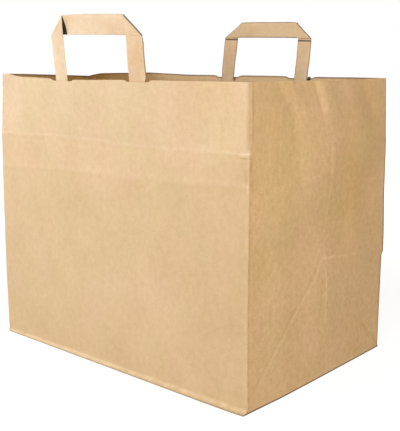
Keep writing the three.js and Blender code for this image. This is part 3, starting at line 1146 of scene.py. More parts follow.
@dataclass
class BagBody:
    """The body, one folded sheet: two wide panels, two gussets, a block bottom and the tube seam."""

    width: float = 320.0
    depth: float = 217.0
    height: float = 272.0
    paper: float = 0.2
    swell: float = 1.5
    band_height: float = 59.0
    mouth_lean: float = 14.0
    flat_left: float = 108.2
    flat_right: float = 76.2
    gusset_ridge: float = 3.0
    right_gusset: GussetForm = RIGHT_GUSSET
    left_gusset: GussetForm = LEFT_GUSSET
    foot_rise: float = 4.5
    floor_underside: float = 0.46
    lip_left: float = 1.2
    lip_right: float = 6.0
    flap_overlap: float = 28.0
    upper_flap: float = 0.23
    seam_from_corner: float = 50.0
    seam_overlap: float = 22.0
    strap_middle: float = 49.7
    notch_width: float = 29.0
    rear_notch_width: float = 33.0
    notch_depth: float = 1.8
    nib: float = -60.9
    pillow: float = 3.0
    edge_reach: float = 0.15
    rim_reach: float = 1.0
    gusset_steps: int = 46
    corner_swell_from: Pair = (80.0, 150.0)
    bulge_rise: Pair = (20.0, 150.0)
    bulge_falls_from: float = 165.0
    toe_blend: float = 30.0
    ripple_from_edge: Pair = (1.0, 40.0)
    ripple_from_foot: Pair = (6.0, 50.0)
    stiff_reach: Pair = (74.0, 100.0)
    stiff_rise: float = 10.0
    crease_ridge: Pair = (0.22, 1.5)
    slack_ridge: Pair = (0.12, 1.8)
    seam_fade: float = 16.0
    step_ease: float = 0.25
    notch_ease: float = 1.2
    nib_ease: Pair = (1.3, 2.5)
    fold_degrees: float = 36.0
    name: str = "folded_body"

    @property
    def half_round(self) -> float:
        """Length of half of the sheet round the bag: one panel and one gusset."""
        return self.width + self.depth

    @property
    def band_foot(self) -> float:
        """Height of the crease under the band."""
        return self.height - self.band_height

    @property
    def junction(self) -> float:
        """Height at which the bottom's diagonal creases meet."""
        return self.foot_rise + self.depth / 2

    @property
    def seam(self) -> Pair:
        """Where the tube seam starts and ends across the rear half."""
        end = self.width / 2 - self.seam_from_corner
        return end - self.seam_overlap, end

    def crease_height(self, across: Array) -> Array:
        """Height of the crease under the band, which wanders a little round the bag."""
        return np.interp(across, *BAND_CREASE)

    def slack_height(self, across: Array) -> Array:
        """Height of the faint crease below it, which rises to the right."""
        return np.interp(across, *SLACK_CREASE)

    def notch(self, side: Side) -> float:
        """Width of the rim's cut-out round each strap."""
        return self.notch_width if side is Side.FRONT else self.rear_notch_width

    def rim_height(self, across: Array, side: Side) -> Array:
        """Height of the cut rim, which dips a little, with a shallow cut-out round each strap.

        Args:
            across: Places across the half sheet.
            side: Which half of the bag it is.

        Returns:
            Heights on the sheet.
        """
        middles = (np.abs(across - end * self.strap_middle) for end in (-1, 1))
        edge = np.minimum(*middles) - self.notch(side) / 2
        depth = self.notch_depth * (1 - smoothstep(edge, -self.notch_ease, self.notch_ease))
        if side is Side.REAR:
            depth = depth * smoothstep(np.abs(across - self.nib), *self.nib_ease)
        return self.height - np.interp(across, *RIM_DIPS[side]) - depth

    def rows(self, across: Array, side: Side) -> Array:
        """Heights of the mesh rows in each column, with rows on every crease.

        Args:
            across: Places of the columns across half of the sheet.
            side: Which half of the bag it is.

        Returns:
            Heights on the sheet, rows by columns.
        """
        foot = graded(self.floor_underside, self.foot_rise, 5)
        low = self.foot_rise + self.gusset_distances()[1:]
        parts = [np.concatenate([foot, low])[:, None] + np.zeros_like(across)]
        slack, crease = self.slack_height(across), self.crease_height(across)
        levels = (self.junction, slack, crease, self.rim_height(across, side))
        shares = (graded(0, 1, 24, 0.6, 0.7), graded(0, 1, 13, 0.7, 0.75), graded(0, 1, 24, 0.75, 0.6))
        for share, below, above in zip(shares, levels, levels[1:]):
            parts.append(below + (above - below) * share[1:, None])
        return np.concatenate(parts)

    def gusset_distances(self) -> Array:
        """Distances of the gusset's columns from its corner, which are the low rows' heights as well."""
        return graded(0, self.depth / 2, self.gusset_steps, 0.7, 0.75)

    def panel_places(self, side: Side) -> Array:
        """Places of the columns across a wide panel, finer at the corners and at the rim's cut-outs.

        Args:
            side: Which half of the bag it is.

        Returns:
            Places across the panel, without its right edge.
        """
        outer = self.strap_middle + self.notch(side) / 2
        inner = self.strap_middle - self.notch(side) / 2
        left = graded(-self.width / 2, -outer - 0.4, 30, 0.85)
        cut = graded(-outer + 0.4, -inner - 0.4, 9)
        middle = graded(-inner + 0.4, inner - 0.4, 17)
        seam = np.array(self.seam)
        seam = np.concatenate([seam - self.step_ease, seam + self.step_ease])
        places = [left, cut, middle, -cut, -left, seam]
        if side is Side.REAR:
            near = np.array(self.nib_ease)
            places += [self.nib - near, self.nib + near]
        return np.unique(np.round(np.concatenate(places), 4))[:-1]

    def swell_at(self, height: Array, corner: Array | float = 1.0) -> Array:
        """How far the walls stand out at a height.

        Args:
            height: Heights on the sheet.
            corner: 1 at the corners, which stand out up to the rim, 0 where the band holds the wall.

        Returns:
            Distances out of the plain box.
        """
        wall = np.sin(np.pi * np.minimum(height, self.band_foot) / self.band_foot)
        edge = np.interp(height, *CORNER_SWELL)
        return self.swell * (wall + (edge - wall) * corner)

    def lip_share(self, height: Array) -> Array:
        """How much of the bottom lip shows at a height."""
        share = np.clip((self.foot_rise - height) / (self.foot_rise - self.floor_underside), 0, 1)
        return share**1.35

    def band_share(self, across: Array, height: Array) -> Array:
        """How far up the band a place is, from 0 at its crease to 1 at the rim."""
        crease = self.crease_height(across)
        return np.clip((height - crease) / (self.height - crease), 0, None)

    def panel(self, across: Array, height: Array, flare: FootFlare) -> Array:
        """Points of the front panel.

        Args:
            across: Places across the panel.
            height: Heights on the sheet, rows by columns.
            flare: How its foot stands out.

        Returns:
            Points, rows by columns by three.
        """
        half = self.width / 2
        swell = self.swell_at(height, smoothstep(np.abs(across), *self.corner_swell_from))
        share = across / half
        aside, out = flare.panel(share, height)
        lip = self.lip_left + (self.lip_right - self.lip_left) * (share + 1) / 2
        lip = lip * self.lip_share(height)
        left_curl = smoothstep(across, -half, -self.flat_left)
        curl = np.minimum(left_curl, smoothstep(-across, -half, -self.flat_right))
        lean = np.radians(self.mouth_lean * curl)
        up = self.band_share(across, height) * self.band_height
        x = across + share * swell + aside
        bulge = np.clip(1 - share**2, 0, None) * smoothstep(height, *self.bulge_rise)
        bulge = bulge * smoothstep(-height, -self.band_foot, -self.bulge_falls_from)
        y = -self.depth / 2 - swell - self.pillow * bulge - lip - out - up * np.tan(lean)
        z = height + 0 * across
        inward = np.sign(share)
        gap = half - np.abs(across) + np.zeros_like(height)
        cut = self.corner_cut(height, gap, across > 0)
        return np.stack([x - inward * cut, y + cut, z], -1)

    def corner_cut(self, height: Array, gap: Array, front_right: Array) -> Array:
        """How far the corner edge is cut back: a crisp edge below the band, a flattened one at the rim.

        Args:
            height: Heights on the sheet.
            gap: Distances from the edge along the sheet.
            front_right: Whether it is the edge that is flattened most.

        Returns:
            Distances by which both faces of the edge are moved inwards.
        """
        soft = smoothstep(height, self.band_foot - 3, self.band_foot + 16)
        plain = self.edge_reach + (self.rim_reach - self.edge_reach) * soft
        heights, reaches = FLATTENED_EDGE
        flattened = np.interp(height, heights, (self.edge_reach, *reaches))
        reach = np.where(front_right, flattened, plain)
        share = np.clip(1 - gap / reach, 0, None)
        return reach / 2 * np.where(share < 0.3, share**2 / 0.6, share - 0.15)

    def gusset(self, across: Array, height: Array, form: GussetForm, flare: FootFlare) -> Array:
        """Points of the right gusset.

        Args:
            across: Places across the gusset, from its middle crease.
            height: Heights on the sheet, rows by columns.
            form: How the gusset is folded at each height.
            flare: How its foot stands out.

        Returns:
            Points, rows by columns by three.
        """
        half = self.depth / 2
        swell = self.swell_at(height)
        rise = (height - self.foot_rise) / (self.junction - self.foot_rise)
        low = np.minimum(1 - np.abs(across) / half, rise)
        kink = self.crease_height(across + self.half_round / 2)
        level = height + (self.band_foot - kink) * smoothstep(height, self.junction, self.band_foot)
        upper = form.stand_out(across, level, half)
        blend = smoothstep(height, self.junction - self.toe_blend, self.junction)
        stand = self.gusset_ridge * np.clip(low, 0, None) * (1 - blend) + upper * blend
        stand = stand + form.toe_ridge(across, height)
        share = self.band_share(across + self.half_round / 2, height)
        pushed = form.stand_out(across, self.band_foot + 0 * height, half) - upper
        tilt = np.clip(pushed / self.band_height, -0.9, 0.9)
        drop = self.band_height * share * (1 - np.sqrt(1 - tilt**2))
        lip = self.lip_share(height) * np.where(across < 0, self.lip_right, self.lip_left)
        out, aside = flare.gusset(across / half, height)
        x = self.width / 2 + swell + stand + out
        y = across / half * (half + swell + lip) + aside
        gap = half - np.abs(across) + np.zeros_like(height)
        cut = self.corner_cut(height, gap, across < 0)
        return np.stack([x - cut, y - np.sign(across) * cut, height - drop], -1)

    def half_sheet(self, side: Side) -> tuple[Array, Array, Array]:
        """One wide panel and the gusset at its right.

        Args:
            side: Which half of the bag it is.

        Returns:
            Points in the half's own place, rows by columns by three, the columns' places across the
            half sheet, and the heights of the rows.
        """
        panel = self.panel_places(side)
        distance = self.gusset_distances()
        gusset = np.concatenate([distance - self.depth / 2, self.depth / 2 - distance[-2:0:-1]])
        across = np.concatenate([panel, gusset + self.half_round / 2])
        heights = self.rows(across, side)
        count = len(panel)
        form = self.right_gusset if side is Side.FRONT else self.left_gusset
        flare = FOOT_FLARES[side]
        wide = self.panel(panel, heights[:, :count], flare)
        narrow = self.gusset(gusset, heights[:, count:], form, flare)
        return np.concatenate([wide, narrow], 1), across, heights

    def relief(self, side: Side, across: Array, heights: Array) -> Array:
        """How far the paper stands off its plain folded shape.

        Args:
            side: Which half of the bag it is.
            across: Places of the columns across the half sheet.
            heights: Heights of the rows.

        Returns:
            Distances outwards, rows by columns.
        """
        edge = np.minimum(np.abs(across + self.width / 2), np.abs(across - self.width / 2))
        edge = np.minimum(edge, np.abs(across - self.half_round + self.width / 2))
        free = smoothstep(edge, *self.ripple_from_edge) * smoothstep(heights, *self.ripple_from_foot)
        stiff = 1 - smoothstep(np.abs(across), *self.stiff_reach)
        stiff = stiff * smoothstep(heights, self.band_foot - self.stiff_rise, self.band_foot)
        ripple = Ripple(RIPPLE_SEEDS[side]).at(across, heights)
        relief = ripple * free * (1 - stiff)
        on_panel = smoothstep(np.abs(across), self.width / 2, self.width / 2 - 4)
        band = (self.crease_height(across), *self.crease_ridge)
        slack = (self.slack_height(across), *self.slack_ridge)
        for line, height, reach in (band, slack):
            ridge = height * np.exp(-(((heights - line) / reach) ** 2))
            relief = relief + ridge * (0.35 + 0.65 * on_panel)
        if side is Side.REAR:
            start, end = self.seam
            step = self.paper * self.seam_step(across, start)
            relief = relief + step * (1 - smoothstep(across, end, end + self.seam_fade))
        return relief

    def seam_step(self, across: Array, end: float) -> Array:
        """Ease over one end of the tube seam."""
        return smoothstep(across, end - self.step_ease, end + self.step_ease)

    def thickness(self, side: Side, across: Array) -> Array:
        """Thickness of the paper in each column: twice as much in the rear half's tube seam."""
        begun, ended = (self.seam_step(across, end) for end in self.seam)
        return self.paper * (1 + begun * (1 - ended) * (side is Side.REAR))

    def build(self) -> bpy.types.Object:
        """Make the body.

        Returns:
            The folded body as one object.
        """
        halves = {side: self.half_sheet(side) for side in Side}
        plain = np.concatenate([halves[Side.FRONT][0], halves[Side.REAR][0] * HALF_TURN], 1)
        relief = np.concatenate([self.relief(s, a, h) for s, (_, a, h) in halves.items()], 1)
        thick = np.concatenate([self.thickness(s, a) for s, (_, a, _) in halves.items()])
        normal = grid_normals(plain, closed=True)
        outer = plain + normal * relief[..., None]
        outer[0, :, 2] = self.floor_underside
        inner = outer - grid_normals(outer, closed=True) * thick[None, :, None]
        inner[..., 2] = np.maximum(inner[..., 2], self.floor_underside + self.paper)
        inner[-1, :, 2] = outer[-1, :, 2]

        across = np.concatenate([halves[Side.FRONT][1], halves[Side.REAR][1] + self.half_round])
        across = np.append(across, across[0] + 2 * self.half_round)
        heights = np.concatenate([halves[Side.FRONT][2], halves[Side.REAR][2]], 1)
        heights = np.concatenate([heights, heights[:, :1]], 1)
        crease = self.crease_height((across + self.width / 2) % self.half_round - self.width / 2)
        spread = across + np.zeros_like(heights)
        place = np.stack([spread, heights, heights - crease], -1)
        spread = spread + INSIDE_TURNS * self.half_round
        within = np.stack([spread, heights, heights - heights[-1]], -1)

        mesh = PaperMesh(self.name)
        wrap = np.arange(outer.shape[1] + 1) % outer.shape[1]
        outside = mesh.add_grid(outer)[:, wrap]
        inside = mesh.add_grid(inner)[:, wrap]
        middle = across[:-1] % self.half_round
        rear_gusset = (middle > self.half_round / 2) & (middle < self.half_round - self.width / 2)
        split = np.where(rear_gusset, -1, 1)
        mesh.add_cells(outside, place, split=split)
        mesh.add_cells(inside, within, flip=True, split=split)
        mesh.add_cells(np.stack([outside[-1], inside[-1]]), place[[-1, -1]])
        self.add_floor(mesh, outside[0], outer[0], flip=True)
        self.add_floor(mesh, inside[0], inner[0], flip=False)
        self.add_flaps(mesh)
        return mesh.build(self.fold_degrees)

    def add_floor(self, mesh: PaperMesh, ring: Array, points: Array, flip: bool) -> None:
        """Close the bottom with a fan of triangles.

        Args:
            mesh: Mesh to add to.
            ring: Indices of the bottom's outline, closed.
            points: The outline's points.
            flip: Whether the floor looks down.
        """
        hub = mesh.add_points(np.array([[0, 0, points[:, 2].mean()]]))
        flat = np.concatenate([points, points[:1]])[:, :2]
        corners = np.stack([ring[:-1], ring[1:], np.full(len(ring) - 1, hub)], -1)
        places = np.stack([flat[:-1], flat[1:], np.zeros_like(flat[1:])], 1)
        order = [2, 1, 0] if flip else [0, 1, 2]
        mesh.add_triangles(corners[:, order], places[:, order])

    def add_flaps(self, mesh: PaperMesh) -> None:
        """Add the two glued bottom flaps outside and the two folded corners' ends inside.

        Args:
            mesh: Mesh to add to.
        """
        half_width, half_depth = self.width / 2, self.depth / 2
        reach = self.flap_overlap / 2
        for turn, base in ((1.0, self.upper_flap), (-1.0, 0.0)):
            up = graded(-half_depth - 0.4, reach, 26, 0.6, 0.7)
            share = graded(-1, 1, 48, 0.6, 0.6)
            slant = np.minimum(up + half_depth, half_depth)
            x = share[None, :] * (half_width - np.clip(slant, 0, None))[:, None]
            y = up[:, None] + np.zeros_like(x)
            sag = 0.02 * np.sin(x / 31) * np.sin(y / 17)
            low = np.stack([turn * x, turn * y, base + 0.02 + sag], -1)
            high = low + np.array([0, 0, self.paper - 0.03])
            mesh.add_sheet(high, low, np.stack([x + FLAP_START, y], -1))
        for turn in (1.0, -1.0):
            away = graded(0.6, half_depth * 0.82, 24, 0.5, 0.5)
            share = graded(-1, 1, 30, 0.5, 0.5)
            x = (half_width - away)[:, None] + np.zeros_like(share)
            y = share[None, :] * (half_depth - 1.0 - away)[:, None]
            lift = 0.05 + 0.25 * smoothstep(away, half_depth * 0.5, half_depth * 0.82)[:, None]
            base = self.floor_underside + self.paper + lift + np.zeros_like(y)
            low = np.stack([turn * x, turn * y, base], -1)
            high = low + np.array([0, 0, self.paper])
            mesh.add_sheet(low, high, np.stack([x + CORNER_START, y], -1))


# The strap handles and their patches


@dataclass
class BandFrame:
    """The flat band under the mouth: across it, inwards from its outside and up from its crease."""

    lean: float
    depth: float
    foot: float
    side: Side

    def points(self, x: Array, inward: Array, up: Array) -> Array:
        """Points of the bag from places on the band.

        Args:
            x: Places across the band.
            inward: Distances inwards from the band's outside.
            up: Distances up the band from its crease.

        Returns:
            Points in the bag's frame.
        """
        lean = math.radians(self.lean)
        y = -self.depth / 2 + inward * math.cos(lean) - up * math.sin(lean)
        z = self.foot + up * math.cos(lean) + inward * math.sin(lean)
        turn = self.side.value
        return np.stack(np.broadcast_arrays(turn * x, turn * y, z), -1)


@dataclass
class StrapHandle:
    """One strap folded from a strip of paper: two glued legs and a bar, folded at 45 degrees between."""

    name: str
    band: BandFrame
    width: float = 17.6
    thickness: float = 0.62
    span: float = 116.4
    rise: float = 59.5
    lean: float = 8.0
    band_height: float = 59.0
    leg_foot: float = 13.0
    depth: float = 0.32
    fold_radius: float = 0.5
    sag: Pair = (0.0, 0.0)
    twist: Pair = (0.0, 0.0)
    opening: Pair = (0.0, 0.0)
    pull: Pair = (0.0, 0.0)
    shift: float = 0.0
    # How far the painted shade of the open left fold reaches; it moves no paper.
    gap: float = 0.0
    bow: float = 0.9
    ripple_height: float = 0.35
    twist_rise: Pair = (-6.0, 3.0)
    twist_end: Pair = (-10.0, 5.0)
    opening_reach: float = 11.0
    free_fold: float = 11.0
    fold_degrees: float = 65.0
    seed: int = 1

    @property
    def leg(self) -> float:
        """Length of a leg from its foot to the middle of its fold."""
        return self.band_height - self.leg_foot + self.rise - self.width / 2

    @property
    def length(self) -> float:
        """Length of the whole strip."""
        return 2 * self.leg + self.span - self.width + math.pi * self.fold_radius * 2

    def strip(self) -> tuple[Array, Array]:
        """Grid of places along and across the flat strip, with slanted rows at the folds.

        Returns:
            Places along the strip and places across it, rows by columns.
        """
        across = graded(-self.width / 2, self.width / 2, 14, 0.85, 0.85)
        fold = self.fold_radius * math.pi * math.sqrt(2)
        rim = self.band_height - self.leg_foot
        start = self.leg - fold * 0.5
        free = start - self.free_fold
        leg = [graded(0, rim, 14)[:-1], graded(rim, free, 20)[:-1], graded(free, start, 10, 0, 0.6)]
        turn = graded(start, start + 2 * fold, 14)[1:]
        middle = self.length / 2
        bar = graded(start + 2 * fold, middle, 26, 0.7)[1:]
        along = np.concatenate([*leg, turn, bar])
        bar_shear = 1 - smoothstep(along, start + 2 * fold + 2, middle)
        shear = np.where(along < start, smoothstep(along, rim, start - 9), bar_shear)
        grid = along[:, None] + shear[:, None] * across[None, :]
        return grid, np.broadcast_to(across, grid.shape)

    def half(
        self, along: Array, across: Array, opening: float, twist: float
    ) -> tuple[Array, Array, Array]:
        """Fold the left half of the strip.

        Args:
            along: Places along the strip.
            across: Places across the strip.
            opening: How far the bar stands off the leg where its fold is not pressed flat.
            twist: How far the leg's outer edge is turned inwards, in degrees.

        Returns:
            Places across the handle, inwards and up from the rim.
        """
        centre = -(self.span - self.width) / 2
        up = along - (self.band_height - self.leg_foot)
        beyond = (up - (self.rise - self.width / 2) - across) / math.sqrt(2)
        radius = self.fold_radius
        turn = np.clip(beyond / radius, 0, math.pi)
        past = np.clip(beyond - math.pi * radius, 0, None)
        reach = np.where(beyond > 0, radius * np.sin(turn) - past, beyond)
        slide = (reach - beyond) / math.sqrt(2)
        x = centre + across - slide
        w = up + slide
        inward = radius * (1 - np.cos(turn))
        away = past / self.opening_reach
        inward = inward + opening * (away * np.exp(1 - away)) ** 2
        turned = math.tan(math.radians(twist)) * (self.width / 2 - across)
        turned = turned * smoothstep(w, *self.twist_rise) * smoothstep(-beyond, *self.twist_end)
        return x, inward + turned, w

    def surface(self) -> tuple[Array, Array, Array, Array, Array]:
        """The middle surface of the folded strap.

        Returns:
            Places across, inwards and up in the handle's frame, and along and across the flat strip.
        """
        along, across = self.strip()
        left, right = (self.half(along, across, *both) for both in zip(self.opening, self.twist))
        x = np.concatenate([left[0], -right[0][-2::-1]])
        inward = np.concatenate([left[1], right[1][-2::-1]])
        w = np.concatenate([left[2], right[2][-2::-1]])
        flat = np.concatenate([along, (self.length - along)[-2::-1]])
        return x, inward, w, flat, np.concatenate([across, across[-2::-1]])

    def gap_distance(self, x: Array, w: Array, run: Array) -> Array:
        """Distance from the painted shade of the dark gap in the left fold, on the strip's back.

        Args:
            x: Places across the handle.
            w: Places up from the rim.
            run: Places along the strip, counted from its slanted fold lines.

        Returns:
            Distances that are negative in the open fold, NO_GAP at most.
        """
        far = np.full_like(x, NO_GAP)
        if not self.gap:
            return far
        on_bar = (run > self.leg) & (run < self.length / 2)
        depth = np.clip((self.rise - w) / self.width, 0, 1) * self.gap
        return np.where(on_bar, np.minimum(x + self.span / 2 - self.width - depth, far), far)

    def build(self) -> bpy.types.Object:
        """Make the strap.

        Returns:
            The strap as one object.
        """
        x, inward, w, flat, across = self.surface()
        gap = self.gap_distance(x, w, flat - across)
        free = smoothstep(w, 0, 20)
        ripple = Ripple(self.seed, self.ripple_height, shortest=30, longest=90, count=8)
        inward = inward + ripple.at(flat, across) * free
        bar = smoothstep(w, self.rise - self.width - 4, self.rise - self.width + 4)
        w = w + self.bow * bar * (1 - (2 * x / self.span) ** 2)
        ends = smoothstep(np.abs(x), self.span / 2 - 34, self.span / 2 - self.width)
        pull = np.where(x < 0, *self.pull) * ends
        x = x - np.sign(x) * pull * smoothstep(w, self.rise - self.width, self.rise)
        low = self.sag[0] + (self.sag[1] - self.sag[0]) * (x / self.span + 0.5)
        w = w - low * smoothstep(w, 0, self.rise - self.width - 2)
        bend = math.radians(self.band.lean - self.lean)
        above = w > 0
        depth = self.depth + self.thickness / 2 + inward * np.where(above, math.cos(bend), 1.0)
        depth = depth + np.where(above, w * math.sin(bend), 0.0)
        up = self.band_height + np.where(above, w * math.cos(bend) - inward * math.sin(bend), w)
        middle = self.band.points(x + self.shift, depth, up)
        normal = grid_normals(middle)
        edge = np.clip((self.width / 2 - np.abs(across)) / (self.thickness / 2), 0, 1)
        half = self.thickness / 2 * np.sqrt(np.clip(1 - (1 - edge) ** 2, 0.02, 1))
        place = np.stack([across + STRAP_START, flat, np.full_like(gap, STRAP_FACE)], -1)
        back = np.stack([across + STRAP_START, flat, gap], -1)
        swell = normal * half[..., None]
        mesh = PaperMesh(self.name)
        mesh.add_sheet(middle + swell, middle - swell, place, back)
        return mesh.build(self.fold_degrees)


@dataclass
class HandlePatch:
    """The glued paper patch inside the band, which lies over both legs of a strap."""

    name: str
    band: BandFrame
    width: float = 146.4
    foot: float = 7.0
    head: float = 53.0
    paper: float = 0.2
    leg_middle: float = 49.7
    leg_width: float = 17.0
    low: float = 0.3
    high: float = 1.05
    step: float = 2.6
    foot_ease: Pair = (3.5, 6.5)
    unevenness: float = 0.12
    lift: float = 0.25
    lift_reach: float = 2.5
    wave: float = 0.25
    wave_length: float = 9.0
    seed: int = 5

    def build(self) -> bpy.types.Object:
        """Make the patch.

        Returns:
            The patch as one object.
        """
        inner = self.leg_middle - self.leg_width / 2
        outer = self.leg_middle + self.leg_width / 2
        marks = (0, inner - self.step - 1, inner + 1, outer - 1, outer + self.step + 1)
        ends = (*marks[1:], self.width / 2)
        spans = [graded(*span) for span in zip(marks, ends, (10, 8, 6, 8, 5))]
        right = np.concatenate([*(span[:-1] for span in spans[:-1]), spans[-1]])
        x = np.concatenate([-right[:0:-1], right])[None, :]
        up = graded(self.foot, self.head, 30, 0.6, 0.6)[:, None]
        gap = np.abs(np.abs(x) - self.leg_middle) - self.leg_width / 2
        leg = 1 - smoothstep(gap, 0.2, self.step)
        leg = leg * smoothstep(up, *(self.foot + end for end in self.foot_ease))
        ripple = Ripple(self.seed, 0.5, shortest=14, longest=40, count=10)
        ripple = self.unevenness * (1 + ripple.at(x, up))
        lift = self.lift * np.exp(-(((self.head - up) / self.lift_reach) ** 2)) * (1 - leg)
        depth = self.low + (self.high - self.low) * leg + np.clip(ripple, 0, None) * (1 - leg) + lift
        grid_x = x + np.zeros_like(up)
        rise = (up - self.foot) / (self.head - self.foot)
        grid_up = up + self.wave * np.sin(x / self.wave_length + self.seed) * rise
        outside = self.band.points(grid_x, depth, grid_up)
        inside = self.band.points(grid_x, depth + self.paper, grid_up)
        mesh = PaperMesh(self.name)
        mesh.add_sheet(outside, inside, np.stack([grid_x + PATCH_START, grid_up], -1))
        return mesh.build()


# The stage


@dataclass(frozen=True)
class Softbox:
    """A large soft lamp that looks at a point of the bag."""

    name: str
    place: Triple
    aim: Triple
    size: Pair
    power: float
    colour: Triple = (1.0, 1.0, 1.0)

    def build(self) -> bpy.types.Object:
        """Make the lamp.

        Returns:
            The lamp's object.
        """
        lamp = bpy.data.lights.new(self.name, "AREA")
        lamp.shape = "RECTANGLE"
        lamp.size, lamp.size_y = (side * MM for side in self.size)
        lamp.energy = self.power
        lamp.color = self.colour
        made = bpy.data.objects.new(self.name, lamp)
        made.location = Vector(self.place) * MM
        way = Vector(self.aim) - Vector(self.place)
        made.rotation_euler = way.to_track_quat("-Z", "Y").to_euler()
        bpy.context.scene.collection.objects.link(made)
        return made


@dataclass(frozen=True)
class Viewpoint:
    """The photograph's camera: where it stands, how it is turned, and its focal length in pixels."""

    place: Triple = (565.2, -636.5, 291.5)
    yaw: float = 40.84
    pitch: float = 8.70
    roll: float = 0.39
    focal_pixels: float = 845.9
    centre_pixels: Pair = (200.0, 186.0)
    picture: tuple[int, int] = (400, 431)
    sensor: float = 36.0

    def build(self) -> bpy.types.Object:
        """Make the camera and look through it.

        Returns:
            The camera's object.
        """
        yaw, pitch, roll = (math.radians(angle) for angle in (self.yaw, self.pitch, self.roll))
        flat = math.cos(pitch)
        back = Vector((math.sin(yaw) * flat, -math.cos(yaw) * flat, math.sin(pitch)))
        level = Vector((math.cos(yaw), math.sin(yaw), 0.0))
        upright = back.cross(level)
        right = level * math.cos(roll) + upright * math.sin(roll)
        up = upright * math.cos(roll) - level * math.sin(roll)
        longest = max(self.picture)
        data = bpy.data.cameras.new("photo_camera")
        data.sensor_width = self.sensor
        data.lens = self.focal_pixels / longest * self.sensor
        data.shift_x = (self.picture[0] / 2 - self.centre_pixels[0]) / longest
        data.shift_y = (self.centre_pixels[1] - self.picture[1] / 2) / longest
        camera = bpy.data.objects.new("photo_camera", data)
        turned = Matrix((right, up, back)).transposed().to_4x4()
        camera.matrix_world = Matrix.Translation(Vector(self.place) * MM) @ turned
        bpy.context.scene.collection.objects.link(camera)
        bpy.context.scene.camera = camera
        return camera


@dataclass
class Studio:
    """White floor, white surroundings and soft lamps."""

    ambient: Triple = (0.01, 0.01, 0.01)
    floor_colour: Triple = (0.8, 0.8, 0.8)
    floor_reach: float = 6000.0
    floor_drop: float = 0.05
    floor_white: float = 1.2
    shadow_share: float = 0.25
    shadow_reach: Pair = (350.0, 800.0)
    softboxes: tuple[Softbox, ...] = ()

    @staticmethod
    def seen_directly(graph: ShaderGraph) -> Signal:
        """Which rays see the white surroundings.

        Args:
            graph: Graph to draw in.

        Returns:
            1 for rays of the camera, of mirrors and of glass, 0 for rays of diffuse light.
        """
        kinds = ("Is Camera Ray", "Is Glossy Ray", "Is Transmission Ray")
        camera, glossy, through = (graph.node("ShaderNodeLightPath", None, None, kind) for kind in kinds)
        return camera.most(glossy).most(through)

    def world(self) -> None:
        """Make the surroundings: white to look at, softer as a light."""
        world = bpy.data.worlds.new("white_surroundings")
        world.use_nodes = True
        bpy.context.scene.world = world
        graph = ShaderGraph(world.node_tree)
        colour = graph.mix(self.seen_directly(graph), (*self.ambient, 1.0), (1.0, 1.0, 1.0, 1.0))
        light = graph.node("ShaderNodeBackground", None, {"Color": colour, "Strength": 1.0})
        graph.node("ShaderNodeOutputWorld", None, {"Surface": light})

    def floor(self) -> bpy.types.Object:
        """Make the floor, which is white to look at and keeps the bag's soft shadow.

        Returns:
            The floor's object.
        """
        reach = self.floor_reach * MM
        drop = -self.floor_drop * MM
        mesh = bpy.data.meshes.new("white_floor")
        ways = ((-reach, -reach), (reach, -reach), (reach, reach), (-reach, reach))
        mesh.from_pydata([(*way, drop) for way in ways], [], [(0, 1, 2, 3)])
        material = bpy.data.materials.new("white_floor")
        material.use_nodes = True
        graph = ShaderGraph(material.node_tree)
        plain = graph.node("ShaderNodeBsdfDiffuse", None, {"Color": (*self.floor_colour, 1.0)})
        sockets = {"Color": (1.0, 1.0, 1.0, 1.0), "Strength": self.floor_white}
        white = graph.node("ShaderNodeEmission", None, sockets)
        place = graph.node("ShaderNodeNewGeometry", None, None, "Position")
        away = graph.vector("LENGTH", place, (0, 0, 0), "Value")
        near, far = (end * MM for end in self.shadow_reach)
        share = self.seen_directly(graph) * (1.0 - away.ease(far, near) * self.shadow_share)
        mixed = graph.node("ShaderNodeMixShader", None, {0: share, 1: plain, 2: white})
        graph.node("ShaderNodeOutputMaterial", None, {"Surface": mixed})
        mesh.materials.append(material)
        made = bpy.data.objects.new("white_floor", mesh)
        bpy.context.scene.collection.objects.link(made)
        return made

    def build(self) -> None:
        """Make the surroundings, the floor and the lamps."""
        bpy.context.scene.view_settings.view_transform = "Standard"
        self.world()
        self.floor()
        for softbox in self.softboxes:
            softbox.build()
        log.info("studio: %d lamps", len(self.softboxes))


# Finishes


